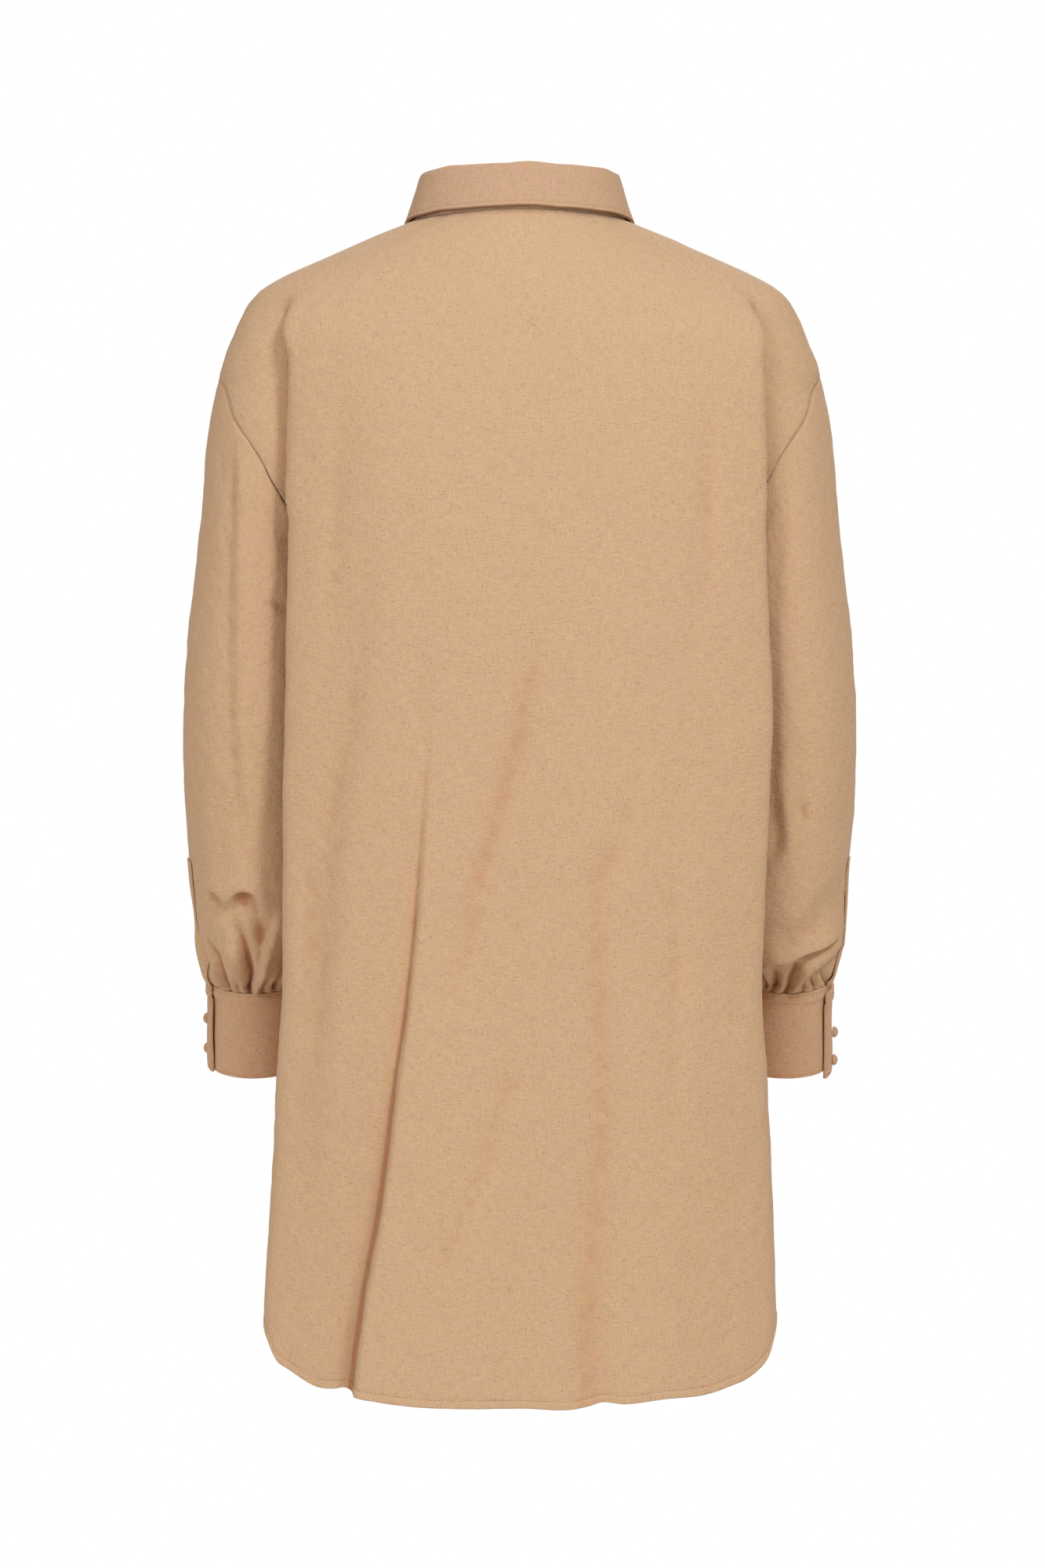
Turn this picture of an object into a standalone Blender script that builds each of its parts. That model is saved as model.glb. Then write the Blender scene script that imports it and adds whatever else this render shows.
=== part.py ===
"""Long shirt-blouse in slubbed linen-blend cloth, filled out as worn.

The wearer faces +Y, so the back of the blouse faces -Y and +X is the wearer's right.
The origin is the middle of the neck at the height of the centre-back neck seam.
Sizes are in millimetres, and "down" is how far a place lies below that seam.
"""
import math

import bmesh
import bpy
import numpy as np
from mathutils import Matrix, Vector

MM = 0.001

# Walls and gaps
CLOTH = 1.6            # single cloth of the panels and sleeves
BAND = 2.4             # doubled cloth of the collar and cuffs
STRIP = 1.2            # binding laid on the sleeve slit
GAP = 0.4              # between pieces at a seam
SLEEVE_CLEAR = 2.0     # how far the sleeve draws off the body's side below the underarm
SEAM_HALF_GAP = 0.3    # from the shoulder and side seams to each panel's edge

# Neck and collar
NECK_WIDE = 82.0       # half width of the neck seam
NECK_BACK = 62.0       # neck seam behind the origin
NECK_FRONT = 58.0      # neck seam before the origin
NECK_SIDE_DOWN = 10.0  # neck seam at the shoulders
BACK_RISE = 3.0       # how much higher the seam runs at the centre back
FRONT_DROP = 65.0      # how much lower it runs at the centre front
STAND_BACK = 32.5      # height of the stand at the back
STAND_FRONT = 27.0
STAND_LEAN = 9.0       # how far its top edge leans in
FRONT_LAP = 13.0       # each front passes the centre line by this much

# Levels of the panels, all "down"
ARMHOLE_TOP = 124.0
NOOK = 242.0           # where the armhole seam leaves the arm for the underarm
UNDERARM = 254.0
NOOK_ROUND = 0.35      # how roundly the back turns out onto the arm
CUFF_TOP = 591.0

# Cuff
CUFF_DEEP = 68.0
CUFF_WIDE = 34.0       # half width, sideways
CUFF_THICK = 38.5      # half width, front to back
CUFF_LEAN = math.radians(14.0)
CUFF_UNDERLAP = math.radians(-26.0)
CUFF_END = {-1: math.radians(387.0), 1: math.radians(393.0)}
CUFF_LIFT = BAND + 0.7  # the top layer of the lap stands this far out

# Buttons
BUTTON_WIDE = 4.4
BUTTON_HIGH = 4.2
CUFF_DROOP = {-1: 0.5, 1: 5.0}  # the lap's end hangs this much lower
# Cuff buttons: below the cuff seam, and round the arm in degrees
CUFF_BUTTONS = {-1: ((33.5, 347), (57.5, 347)), 1: ((36.0, 369), (58.5, 369))}
FRONT_BUTTONS = 7
FRONT_BUTTON_FIRST = 118.0
FRONT_BUTTON_STEP = 108.0

# Mesh density
SHOULDER_ROWS = 9
ARMHOLE_ROWS = 10
SKIRT_ROWS = 9
SPREAD_ROWS = 4        # over which the narrow column of the seams widens
BACK_COLUMNS = 11      # centre to edge of the back, on each side
FRONT_COLUMNS = 6
SIDE_COLUMNS = 7       # edge to seam
NOOK_COLUMNS = 3       # of which these lie before the nook
NOOK_SHARE = NOOK_COLUMNS / SIDE_COLUMNS
SLEEVE_ROWS = 13
GATHERS = 10           # soft pleats round each cuff


def table(columns, rows):
    """Named columns of a table, each as an array."""
    names = columns.split()
    return {name: np.array([row[i] for row in rows], float) for i, name in enumerate(names)}


def along(tab, column, at):
    """A column read at any value of the table's first column, on a smooth curve."""
    xs, ys = next(iter(tab.values())), tab[column]
    slopes = np.gradient(ys, xs)
    at = np.clip(np.asarray(at, float), xs[0], xs[-1])
    i = np.clip(np.searchsorted(xs, at) - 1, 0, len(xs) - 2)
    span = xs[i + 1] - xs[i]
    f = (at - xs[i]) / span
    return hermite(ys[i], ys[i + 1], slopes[i] * span, slopes[i + 1] * span, f)


def hermite(start, end, leave, arrive, f):
    rise = f * f * (3 - 2 * f)
    return start * (1 - rise) + end * rise + f * (1 - f) * (leave * (1 - f) - arrive * f)


def ease(low, high, at):
    f = np.clip((np.asarray(at, float) - low) / (high - low), 0, 1)
    return f * f * (3 - 2 * f)


# Outermost reach of the shoulder and then of the sleeve, sideways
REACH = table("down outer", (
    (10, 82), (24, 117), (40, 153), (54, 184), (62, 197.5), (70, 205.5), (83, 213), (98, 219.5),
    (117, 227), (135, 231.5), (158, 236.5), (190, 240.5), (226, 243), (253, 246), (290, 250),
    (320, 253.5), (360, 256.5), (400, 258), (440, 257.5), (490, 254.5), (530, 251.5),
    (560, 249.5), (577, 246), (585, 243), (591, 239)))

# Oval of the arm at each level
ARM = table("down wide y deep", (
    (60, 46, 0, 54), (124, 50, 2, 58), (180, 52.5, 3, 62), (250, 50.5, 4, 66), (320, 54, 6, 67),
    (400, 55.5, 9, 66), (490, 54, 19, 65), (535, 52.5, 27, 66), (558, 49.5, 32, 62),
    (574, 45, 36, 54), (583, 39, 38, 46), (591, 34, 40, 39)))

# Depth of the back and front at the centre, and where each turns to the side
BODY = table("down back front edge_left edge_right edge_y front_edge front_y", (
    (10, 62, 58, 66, 66, 45, 66, 42), (60, 88, 80, 174, 178, 66, 165, 60),
    (124, 104, 98, 168, 180, 77, 168, 77), (180, 112, 112, 167.5, 181, 80, 168, 82),
    (250, 118, 121, 169, 182, 81, 168, 86), (320, 121, 124, 171.5, 185, 82, 168, 90),
    (390, 122, 126, 173, 188, 82, 167, 93), (440, 123, 127, 174.5, 186, 82, 166, 95),
    (530, 125, 129, 175, 182, 82, 164, 99), (600, 127, 130, 176, 179.5, 82, 163, 100),
    (650, 129, 130, 179.5, 183, 82, 165, 98), (740, 131, 131, 182.5, 186, 83, 174, 90),
    (820, 133, 132, 187, 188, 84, 183, 86), (900, 135, 133, 189, 189, 84, 187, 84)))

# Hollow of the body's side, where the sleeve hangs against it
SIDE = table("down nook_x back_y front_x front_y side_x side_y", (
    (242, 161, -46, 161, 54, 138, 5), (320, 160, -47, 160, 58, 138.5, 6),
    (400, 159, -46, 157, 60, 138, 9), (490, 158, -41, 153, 67, 138, 18),
    (560, 157, -35, 152, 72, 138, 28), (610, 157, -28, 152, 75, 142, 34),
    (670, 161, -28, 158, 72, 150, 32), (740, 171, -34, 170, 58, 164, 15),
    (900, 181, -44, 181, 45, 176, 5)))

# Armhole seam: share of its length from the shoulder to the underarm, and the turn round
# the arm from its outer side
ARMHOLE = table("share down turn", (
    (0, 124, 0), (0.15, 140, 35), (0.3, 163, 54), (0.45, 190, 79), (0.6, 216, 98),
    (0.7, 231, 112), (0.8, 242, 130), (0.9, 250, 155), (1, 254, 180)))

# Shirt-tail hem, by the place across the panel: 0 centre, 2 edge, 4 side seam
HEM = table("place back front", (
    (0, 901, 868), (0.7, 899, 867), (1.3, 890, 860), (1.7, 884, 852), (1.9, 878, 846),
    (2.1, 868, 838), (2.6, 838, 822), (3.2, 814, 808), (4, 797, 797)))

# Soft folds of the panels: a ridge with its hollow on one side, where it starts and ends,
# how wide it is and how far it stands out at both ends
FOLDS = table("x_top top x_mid x_end end wide stand_top stand_end face", (
    (-106, 250, -128, -150, 690, 26, 1, 5, -1),
    (-68, 400, -78, -122, 905, 20, 2, 15, -1),
    (22, 310, -20, -54, 800, 30, 2, 4, -1),
    (84, 455, 64, 58, 905, 24, 2, 9, -1),
    (70, 260, 92, 112, 880, 26, 2, 8, 1),
    (-60, 300, -86, -100, 880, 26, 2, 9, 1)))

# Folds of the sleeves: turn from the outer side, span, width and height
SLEEVE_FOLDS = table("turn top end lean wide stand", (
    (52, 150, 480, 6, 13, 3.5), (96, 250, 470, -8, 14, 3.0), (-60, 190, 500, 8, 15, 3.5),
    (-118, 260, 520, -6, 15, 3.0), (150, 330, 540, 4, 13, 2.5)))

# How far round the arm the hollow beside it lies: shallow above, deep at the underarm
NOOK_TURN = table("down turn", (
    (60, 98), (124, 100), (190, 103), (216, 109), (231, 118), (242, 130), (254, 130)))

OVAL_TURNS = np.radians((0, 25, 49, 62, 72, 81, 90))


def arm_oval(side, turn, down):
    """A place on the arm's oval: turn 0 is outermost, a quarter turn is the back."""
    wide = along(ARM, "wide", down)
    middle = along(REACH, "outer", down) - wide
    x = side * (middle + wide * np.cos(turn))
    return x, along(ARM, "y", down) - along(ARM, "deep", down) * np.sin(turn)


def body_outline(side, face, place, down):
    """A place on the body at one level: 0 centre, 2 edge, 3 nook, then arm or side seam."""
    mirror = np.where(place < 0, -1.0, 1.0)
    place = np.abs(place)
    reach = along(REACH, "outer", down)
    depth = along(BODY, "back" if face < 0 else "front", down)
    turn = np.interp(place, range(7), OVAL_TURNS)
    oval_x, oval_y = reach * np.sin(turn), depth * np.cos(turn)

    if face < 0:
        edge_x = along(BODY, "edge_left" if side < 0 else "edge_right", down)
        edge_y = along(BODY, "edge_y", down)
    else:
        edge_x, edge_y = along(BODY, "front_edge", down), along(BODY, "front_y", down)
    arm_y = along(ARM, "y", down)
    nook_turn = np.radians(along(NOOK_TURN, "turn", down))
    arm_x, arm_back = arm_oval(1, nook_turn * (6 - np.clip(place, 3, 6)) / 3, down)
    nook_x, nook_back = arm_oval(1, nook_turn, down)
    nook_y = nook_back * -1 if face < 0 else 2 * arm_y - nook_back
    arm_out = -arm_back if face < 0 else 2 * arm_y - arm_back
    free = ease(NOOK, NOOK + 45, down)
    free_x = along(SIDE, "nook_x" if face < 0 else "front_x", down)
    free_y = face * along(SIDE, "back_y" if face < 0 else "front_y", down)
    nook_x = nook_x * (1 - free) + free_x * free
    nook_y = nook_y * (1 - free) + free_y * free
    side_x, side_y = along(SIDE, "side_x", down), face * along(SIDE, "side_y", down)

    mid_x, mid_y = edge_x * 0.5, depth * 0.965
    below = down > NOOK
    sidewards = ease(NOOK - 50, NOOK, down)
    turned_x = along(ARM, "wide", down) * np.sin(nook_turn) * NOOK_ROUND
    turned_y = -along(ARM, "deep", down) * np.cos(nook_turn) * NOOK_ROUND
    nook_go_x = turned_x * (1 - sidewards) + (side_x - edge_x) * 0.3 * sidewards
    nook_go_y = turned_y * (1 - sidewards) + (side_y - edge_y) * 0.62 * sidewards
    edge_go_x, edge_go_y = (nook_x - mid_x) * 0.5, (nook_y - mid_y) * 0.5
    mid_go_x, mid_go_y = edge_x * 0.5, (edge_y - depth) * 0.5

    f = place - np.floor(place)
    first = hermite(0, mid_x, mid_x, mid_go_x, f), hermite(depth, mid_y, 0, mid_go_y, f)
    second = (hermite(mid_x, edge_x, mid_go_x, edge_go_x, f),
              hermite(mid_y, edge_y, mid_go_y, edge_go_y, f))
    third = (hermite(edge_x, nook_x, edge_go_x, nook_go_x, f),
             hermite(edge_y, nook_y, edge_go_y, nook_go_y, f))
    f4 = np.clip(place - 3, 0, 1)
    last = (hermite(nook_x, side_x, nook_go_x, 0, f4),
            hermite(nook_y, side_y, nook_go_y, side_y - nook_y, f4))
    spans = [place < 1, place < 2, place < 3, below]
    x = np.select(spans, (first[0], second[0], third[0], last[0]), arm_x)
    y = np.select(spans, (first[1], second[1], third[1], last[1]), arm_out)
    armed = ease(56, 122, down)
    x = oval_x * (1 - armed) + x * armed
    y = oval_y * (1 - armed) + y * armed
    return side * mirror * x, face * y


def neck_lift(face, x, down):
    """Height added near the neck, so that the seam rises behind and drops before."""
    share = np.clip(1 - (x / along(REACH, "outer", down)) ** 2, 0, 1)
    if face < 0:
        return BACK_RISE * share * (1 - ease(10, 110, down))
    return -FRONT_DROP * share * (1 - ease(10, 260, down))


def fold_relief(face, x, down):
    """How far the panel's folds stand out at a place."""
    total = np.zeros_like(np.asarray(x, float))
    for i in range(len(FOLDS["face"])):
        row = {name: column[i] for name, column in FOLDS.items()}
        if row["face"] != face:
            continue
        f = np.clip((down - row["top"]) / (row["end"] - row["top"]), 0, 1)
        path = (row["x_top"] * (1 - f) * (1 - 2 * f) + 4 * row["x_mid"] * f * (1 - f)
                + row["x_end"] * f * (2 * f - 1))
        stand = (row["stand_top"] + (row["stand_end"] - row["stand_top"]) * f)
        stand = stand * ease(row["top"] - 60, row["top"] + 60, down)
        if row["end"] < 850:
            stand = stand * (1 - ease(row["end"] - 80, row["end"] + 40, down))
        off = (x - path) / row["wide"]
        total = total + stand * (np.exp(-(off - 0.6) ** 2) - 0.7 * np.exp(-(off + 0.7) ** 2 * 1.4))
    return total


def body_place(side, face, place, down, out=0.0):
    """A point of the panels, with the folds and the rise and drop at the neck."""
    place, down = np.broadcast_arrays(np.asarray(place, float), np.asarray(down, float))
    x, y = body_outline(side, face, place, down)
    relief = fold_relief(face, x, down) * (1 - ease(1.35, 1.95, np.abs(place))) + out
    return np.stack([x, y + face * relief, neck_lift(face, x, down) - down], -1)


def on_body_seam(row):
    """True on the shoulder and side seams, false where the edge is the armhole's."""
    return (row < SHOULDER_ROWS + 0.5) | (row > SHOULDER_ROWS + ARMHOLE_ROWS - 0.5)


def side_spread(row, far):
    """Spacing from the nook to the edge: the last column is narrow at the shoulder and
    side seams, so that its wall ends square."""
    f = (far - NOOK_SHARE) / (1 - NOOK_SHARE)
    last = 1 - 1 / (SIDE_COLUMNS - NOOK_COLUMNS)
    narrow = np.interp(f, (0, last, 1), (0, 0.9, 1))
    armhole_end = SHOULDER_ROWS + ARMHOLE_ROWS
    on_seam = (1 - ease(SHOULDER_ROWS, SHOULDER_ROWS + SPREAD_ROWS, row)
               + ease(armhole_end - SPREAD_ROWS, armhole_end, row))
    return f + (narrow - f) * on_seam


def panel_rows(face, row, place_share):
    """The level and place across of a panel's grid point."""
    row = np.asarray(row, float)
    shoulder = NECK_SIDE_DOWN + (ARMHOLE_TOP - NECK_SIDE_DOWN) * row / SHOULDER_ROWS
    share = np.clip((row - SHOULDER_ROWS) / ARMHOLE_ROWS, 0, 1)
    armhole = along(ARMHOLE, "down", share)
    turn = np.radians(along(ARMHOLE, "turn", share))
    nook_turn = np.radians(along(NOOK_TURN, "turn", armhole))
    seam = np.where(armhole < NOOK, 6 - 3 * turn / nook_turn,
                    3 + (turn - nook_turn) / (math.pi - nook_turn))
    last = np.where(row <= SHOULDER_ROWS, 6.0, seam)
    turn_out = np.minimum(3.0, 2 + (last - 2) * 0.8)
    far = np.clip(place_share - 1, 0, 1)
    outer = np.where(far < NOOK_SHARE, 2 + (turn_out - 2) * far / NOOK_SHARE,
                     turn_out + (last - turn_out) * side_spread(row, far))
    place = np.where(place_share <= 1, 2 * place_share, outer)
    hem = along(HEM, "back" if face < 0 else "front", np.abs(place))
    skirt = np.clip((row - SHOULDER_ROWS - ARMHOLE_ROWS) / SKIRT_ROWS, 0, 1)
    down = np.where(row <= SHOULDER_ROWS, shoulder, armhole)
    return np.where(skirt > 0, UNDERARM + (hem - UNDERARM) * skirt, down), place


def seam_places(side, face, share):
    """Points of the armhole seam on the body, by share of its length from the shoulder."""
    row = SHOULDER_ROWS + ARMHOLE_ROWS * np.asarray(share, float)
    corners = np.arange(ARMHOLE_ROWS + 1) + SHOULDER_ROWS
    down, place = panel_rows(face, corners, 2.0)
    points = body_place(side, face, place, down)
    return np.stack([np.interp(row, corners, points[:, i]) for i in range(3)], -1)


def part_seam(points, face, at_edge, row):
    """Holds the shoulder and side seams' edges apart."""
    points[:, 1] += np.where(at_edge & on_body_seam(row), face * SEAM_HALF_GAP, 0)
    return points


def seam_at(side, u, share):
    """The armhole seam behind where u is over a half, and before where it is under."""
    behind, before = seam_places(side, -1, share), seam_places(side, 1, share)
    return np.where((u > 0.5)[:, None], behind, before)


def sleeve_relief(turn, down):
    """Long folds of the sleeve and the gathers above the cuff."""
    total = np.zeros_like(np.asarray(turn, float))
    for i in range(len(SLEEVE_FOLDS["turn"])):
        row = {name: column[i] for name, column in SLEEVE_FOLDS.items()}
        f = (down - row["top"]) / (row["end"] - row["top"])
        centre = row["turn"] + row["lean"] * f
        off = (np.degrees(turn) - centre + 180) % 360 - 180
        stand = row["stand"] * ease(0, 0.25, f) * (1 - ease(0.75, 1, f))
        total = total + stand * (np.exp(-(off / row["wide"] - 0.7) ** 2)
                                 - np.exp(-(off / row["wide"] + 0.7) ** 2))
    deep = 3.4 * ease(500, 566, down) * (1 - 0.8 * ease(578, 591, down))
    uneven = 1 + 0.35 * np.sin(turn * 3 + 0.6) * np.sin(turn * 1.0 + 2.1)
    return total + deep * uneven * np.cos(GATHERS * turn)


def sleeve_place(side, turn, down, out=0.0):
    """A point of the sleeve below the armhole: turn 0 outer, 90 back, 180 inner, 270 front."""
    x, y = arm_oval(side, turn, down)
    middle_y = along(ARM, "y", down)
    push = sleeve_relief(turn, down) * ease(150, 210, down) + out
    inner = ease(110, 150, np.abs((np.degrees(turn) + 180) % 360 - 180))
    push = np.where(push > 0, push * (1 - inner * (1 - ease(500, 560, down))), push)
    x = x + side * push * np.cos(turn)
    y = y - push * np.sin(turn)
    lean = math.tan(CUFF_LEAN) * ease(380, 590, down)
    return np.stack([x, y, -down + lean * (y - middle_y)], -1)


def sleeve_grid(side, u, v):
    """Maps the flat sleeve to its place: u round from the underarm, v down from the seam."""
    u = np.where(u > 0.9999, 0, u)
    share = np.abs(2 * u - 1)
    seam = seam_at(side, u, share)
    seam_turn = np.radians(along(ARMHOLE, "turn", share))
    turn = np.where(u > 0.5, seam_turn, -seam_turn)
    even = np.where(u > 0.5, math.pi * share, -math.pi * share)
    top = -seam[:, 2]
    down = top + (CUFF_TOP - GAP / 2 - top) * v
    settled = ease(top, top + 160, down)
    turn = turn * (1 - settled) + even * settled
    points = sleeve_place(side, turn, down)
    start = sleeve_place(side, np.where(u > 0.5, seam_turn, -seam_turn), top)
    fit = (1 - ease(0, 70, down - top))[:, None]
    points = points + (seam - start) * fit
    away = np.stack([side * np.cos(seam_turn), -np.where(u > 0.5, 1, -1) * np.sin(seam_turn),
                     0 * share], -1)
    folded = ease(0.35, 0.75, share)[:, None]
    along_seam = seam_at(side, u, np.minimum(share + 0.04, 1)) - seam_at(
        side, u, np.maximum(share - 0.04, 0))
    along_seam = along_seam / np.linalg.norm(along_seam, axis=1)[:, None]
    fall = np.array((0, 0, -1.0)) + along_seam[:, 2:] * along_seam
    fall = fall - (fall * away).sum(1)[:, None] * away
    fall = fall / np.linalg.norm(fall, axis=1)[:, None]
    shift = (1 - folded) * fall * 1.5 * GAP + folded * (np.array((0, 0, -2)) - away * 6) * GAP
    below = down - top
    clear = SLEEVE_CLEAR * ease(0, 25, below) * (1 - ease(70, 140, below))
    return points + shift * fit - away * folded * clear[:, None]


def cuff_place(side, turn, below, out=0.0):
    """A point of the cuff: turn as on the sleeve, below is measured along the forearm."""
    layer = CUFF_LIFT * ease(math.radians(285), math.radians(330), turn)
    below = below + CUFF_DROOP[side] * ease(math.radians(300), CUFF_END[side], turn)
    wide, thick = CUFF_WIDE + layer + out, CUFF_THICK + layer + out
    x = (along(REACH, "outer", CUFF_TOP) - CUFF_WIDE) + wide * np.cos(turn)
    across = -thick * np.sin(turn)
    y = along(ARM, "y", CUFF_TOP) + across * math.cos(CUFF_LEAN) + below * math.sin(CUFF_LEAN)
    z = -CUFF_TOP + across * math.sin(CUFF_LEAN) - below * math.cos(CUFF_LEAN)
    return np.stack([side * x, y, z], -1)


def collar_round(turn, grow=0.0):
    """The neck seam's oval, from the centre back at 0 to the centre front at half a turn."""
    depth = np.where(np.cos(turn) > 0, NECK_BACK, NECK_FRONT) + grow
    x = (NECK_WIDE + grow) * np.sin(turn)
    y = -depth * np.cos(turn)
    share = np.cos(turn) ** 2
    lift = np.where(np.cos(turn) > 0, BACK_RISE, -FRONT_DROP) * share
    return x, y, -NECK_SIDE_DOWN + lift


def material(name, colour, roughness):
    made = bpy.data.materials.new(name)
    made.use_nodes = True
    shader = made.node_tree.nodes["Principled BSDF"]
    shader.inputs["Base Color"].default_value = (*colour, 1)
    shader.inputs["Roughness"].default_value = roughness
    return made


def add_sheet(name, columns, rows, shape, wall, finish, flip=False, tube=False):
    """A flat grid laid on a shape(u, v) and thickened inwards to a cloth wall."""
    bm = bmesh.new()
    bmesh.ops.create_grid(bm, x_segments=columns, y_segments=rows, size=0.5)
    u = np.array([vert.co.x + 0.5 for vert in bm.verts])
    v = np.array([0.5 - vert.co.y for vert in bm.verts])
    for vert, point in zip(bm.verts, shape(u, v)):
        vert.co = Vector(point) * MM
    if tube:
        bmesh.ops.remove_doubles(bm, verts=bm.verts, dist=0.00001)
    if flip:
        bmesh.ops.reverse_faces(bm, faces=bm.faces)
    mesh = bpy.data.meshes.new(name)
    bm.to_mesh(mesh)
    bm.free()
    mesh.shade_smooth()
    piece = bpy.data.objects.new(name, mesh)
    PARTS.objects.link(piece)
    mesh.materials.append(finish)
    thicken = piece.modifiers.new("cloth wall", 'SOLIDIFY')
    thicken.thickness = wall * MM
    thicken.offset = -1
    return piece


def add_back():
    columns = BACK_COLUMNS + SIDE_COLUMNS

    def shape(u, v):
        across = (2 * u - 1) * columns
        far = np.abs(across)
        share = np.where(far <= BACK_COLUMNS, far / BACK_COLUMNS,
                         1 + (far - BACK_COLUMNS) / SIDE_COLUMNS)
        down, place = panel_rows(-1, v * TOTAL_ROWS, share)
        left, right = body_place(-1, -1, place, down), body_place(1, -1, place, down)
        points = np.where((across < 0)[:, None], left, right)
        return part_seam(points, -1, far > columns - 0.01, v * TOTAL_ROWS)

    add_sheet("back", columns * 2, TOTAL_ROWS, shape, CLOTH, CLOTHS["back"])


def add_front(side):
    """One front: its centre edge laps the other, the wearer's right on top."""
    columns = FRONT_COLUMNS + SIDE_COLUMNS
    lift = side * (CLOTH + GAP) / 2

    def shape(u, v):
        far = u * columns
        centre = -FRONT_LAP / along(BODY, "front_edge", 300)
        inner = centre + (1 - centre) * far / FRONT_COLUMNS
        share = np.where(far <= FRONT_COLUMNS, inner, 1 + (far - FRONT_COLUMNS) / SIDE_COLUMNS)
        down, place = panel_rows(1, v * TOTAL_ROWS, share)
        points = body_place(side, 1, place, down, lift * (1 - ease(0.1, 0.5, place)))
        return part_seam(points, 1, far > columns - 0.01, v * TOTAL_ROWS)

    name = "front_right" if side > 0 else "front_left"
    add_sheet(name, columns, TOTAL_ROWS, shape, CLOTH, CLOTHS["front"], flip=side > 0)


def add_sleeve(side):
    name = "right" if side > 0 else "left"
    columns = ARMHOLE_ROWS * 4

    def spaced(v):
        """Rows crowd together towards the gathers."""
        return v * (1.75 - 0.75 * v)

    def shape(u, v):
        return sleeve_grid(side, u, spaced(v))

    add_sheet("sleeve_" + name, columns, SLEEVE_ROWS, shape, CLOTH, CLOTHS["sleeve"],
              flip=side > 0, tube=True)

    def strip(u, v):
        across = 0.5 + (1 + 2 * u) / columns
        rows = (SLEEVE_ROWS - 5 + 4 * v) / SLEEVE_ROWS
        points = sleeve_grid(side, across, spaced(rows))
        step = 0.002
        right = sleeve_grid(side, across + step, spaced(rows)) - points
        below = sleeve_grid(side, across, spaced(rows + step)) - points
        normal = np.cross(right, below) * side
        normal = normal / np.linalg.norm(normal, axis=1)[:, None]
        return points + normal * (GAP + STRIP)

    add_sheet("slit_binding_" + name, 2, 4, strip, STRIP, CLOTHS["binding"], flip=side > 0)


def add_cuff(side):
    name = "right" if side > 0 else "left"

    def shape(u, v):
        turn = CUFF_UNDERLAP + (CUFF_END[side] - CUFF_UNDERLAP) * u
        return cuff_place(side, turn, GAP / 2 + CUFF_DEEP * v)

    add_sheet("cuff_" + name, 32, 2, shape, BAND, CLOTHS["cuff"], flip=side > 0)
    for number, (below, degrees) in enumerate(CUFF_BUTTONS[side], 1):
        turn = math.radians(degrees)
        add_button("cuff_button_%s_%d" % (name, number), cuff_place(side, turn, below, GAP),
                   (side * math.cos(turn), -math.sin(turn), 0))


def add_collar():
    def stand(u, v):
        turn = 2 * math.pi * (u - 0.5) * 1.045
        front = ease(math.radians(60), math.radians(170), np.abs(turn))
        high = STAND_BACK + (STAND_FRONT - STAND_BACK) * front
        lapped = np.sign(turn) * ease(math.radians(150), math.radians(171), np.abs(turn))
        x, y, seam = collar_round(turn, lapped * (BAND + GAP) / 2 - STAND_LEAN * v)
        return np.stack([x, y, seam + GAP * (1 + 3 * front) + high * v], -1)

    add_sheet("collar_stand", 44, 2, stand, BAND, CLOTHS["collar"], flip=True)

    # Leaf round the neck, in degrees from the centre back: its drop, and how far its edge
    # stands out from the stand's top edge
    size = table("round deep out", (
        (0, 32, 16.5), (60, 33, 15), (90, 33.5, 14), (110, 35.5, 21), (130, 45, 27.5),
        (150, 63, 33), (168, 65, 34)))
    # Its section from the stand's top edge: step, share of the standing out, share of the drop
    roll = table("step off drop", (
        (0, 0, 0), (1, 0.16, 0.0), (2, 0.31, 0.1), (3, 0.48, 0.34), (4, 0.73, 0.68), (5, 1, 1)))

    def leaf(u, v):
        turn = math.radians(164) * (2 * u - 1)
        far = np.abs(turn)
        front = ease(math.radians(60), math.radians(170), far)
        high = STAND_BACK + (STAND_FRONT - STAND_BACK) * front
        deep = along(size, "deep", np.degrees(far))
        step = v * 5
        off = np.interp(step, roll["step"], roll["off"]) * along(size, "out", np.degrees(far))
        drop = np.interp(step, roll["step"], roll["drop"])
        x, y, z = collar_round(turn, off - STAND_LEAN + GAP)
        fold = collar_round(turn)[2] + high + GAP * (2 + 3 * front) + BAND
        crown = 0.9 * np.sin(np.clip(step, 0, 2) * math.pi / 2)
        return np.stack([x, y, fold + crown - deep * drop], -1)

    add_sheet("collar_leaf", 36, 5, leaf, BAND, CLOTHS["collar"])


def button_mesh():
    """Half outline of a cloth-covered dome, from its top down its side to its flat foot."""
    outline = ((0, 1.0), (0.55, 0.88), (0.92, 0.55), (1.0, 0.3), (0.8, 0.0), (0, 0.0))
    bm = bmesh.new()
    verts = [bm.verts.new((x * BUTTON_WIDE * MM, 0, z * BUTTON_HIGH * MM)) for x, z in outline]
    for first, second in zip(verts, verts[1:]):
        bm.edges.new((first, second))
    mesh = bpy.data.meshes.new("covered button")
    bm.to_mesh(mesh)
    bm.free()
    mesh.materials.append(CLOTHS["button"])
    return mesh


def add_button(name, seat, axis):
    button = bpy.data.objects.new(name, BUTTON)
    PARTS.objects.link(button)
    turn = Vector((0, 0, 1)).rotation_difference(Vector(axis).normalized()).to_matrix().to_4x4()
    button.matrix_world = Matrix.Translation(Vector(seat) * MM) @ turn
    screw = button.modifiers.new("turned", 'SCREW')
    screw.steps = screw.render_steps = 8
    screw.use_merge_vertices = True
    screw.merge_threshold = 0.00005


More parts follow.
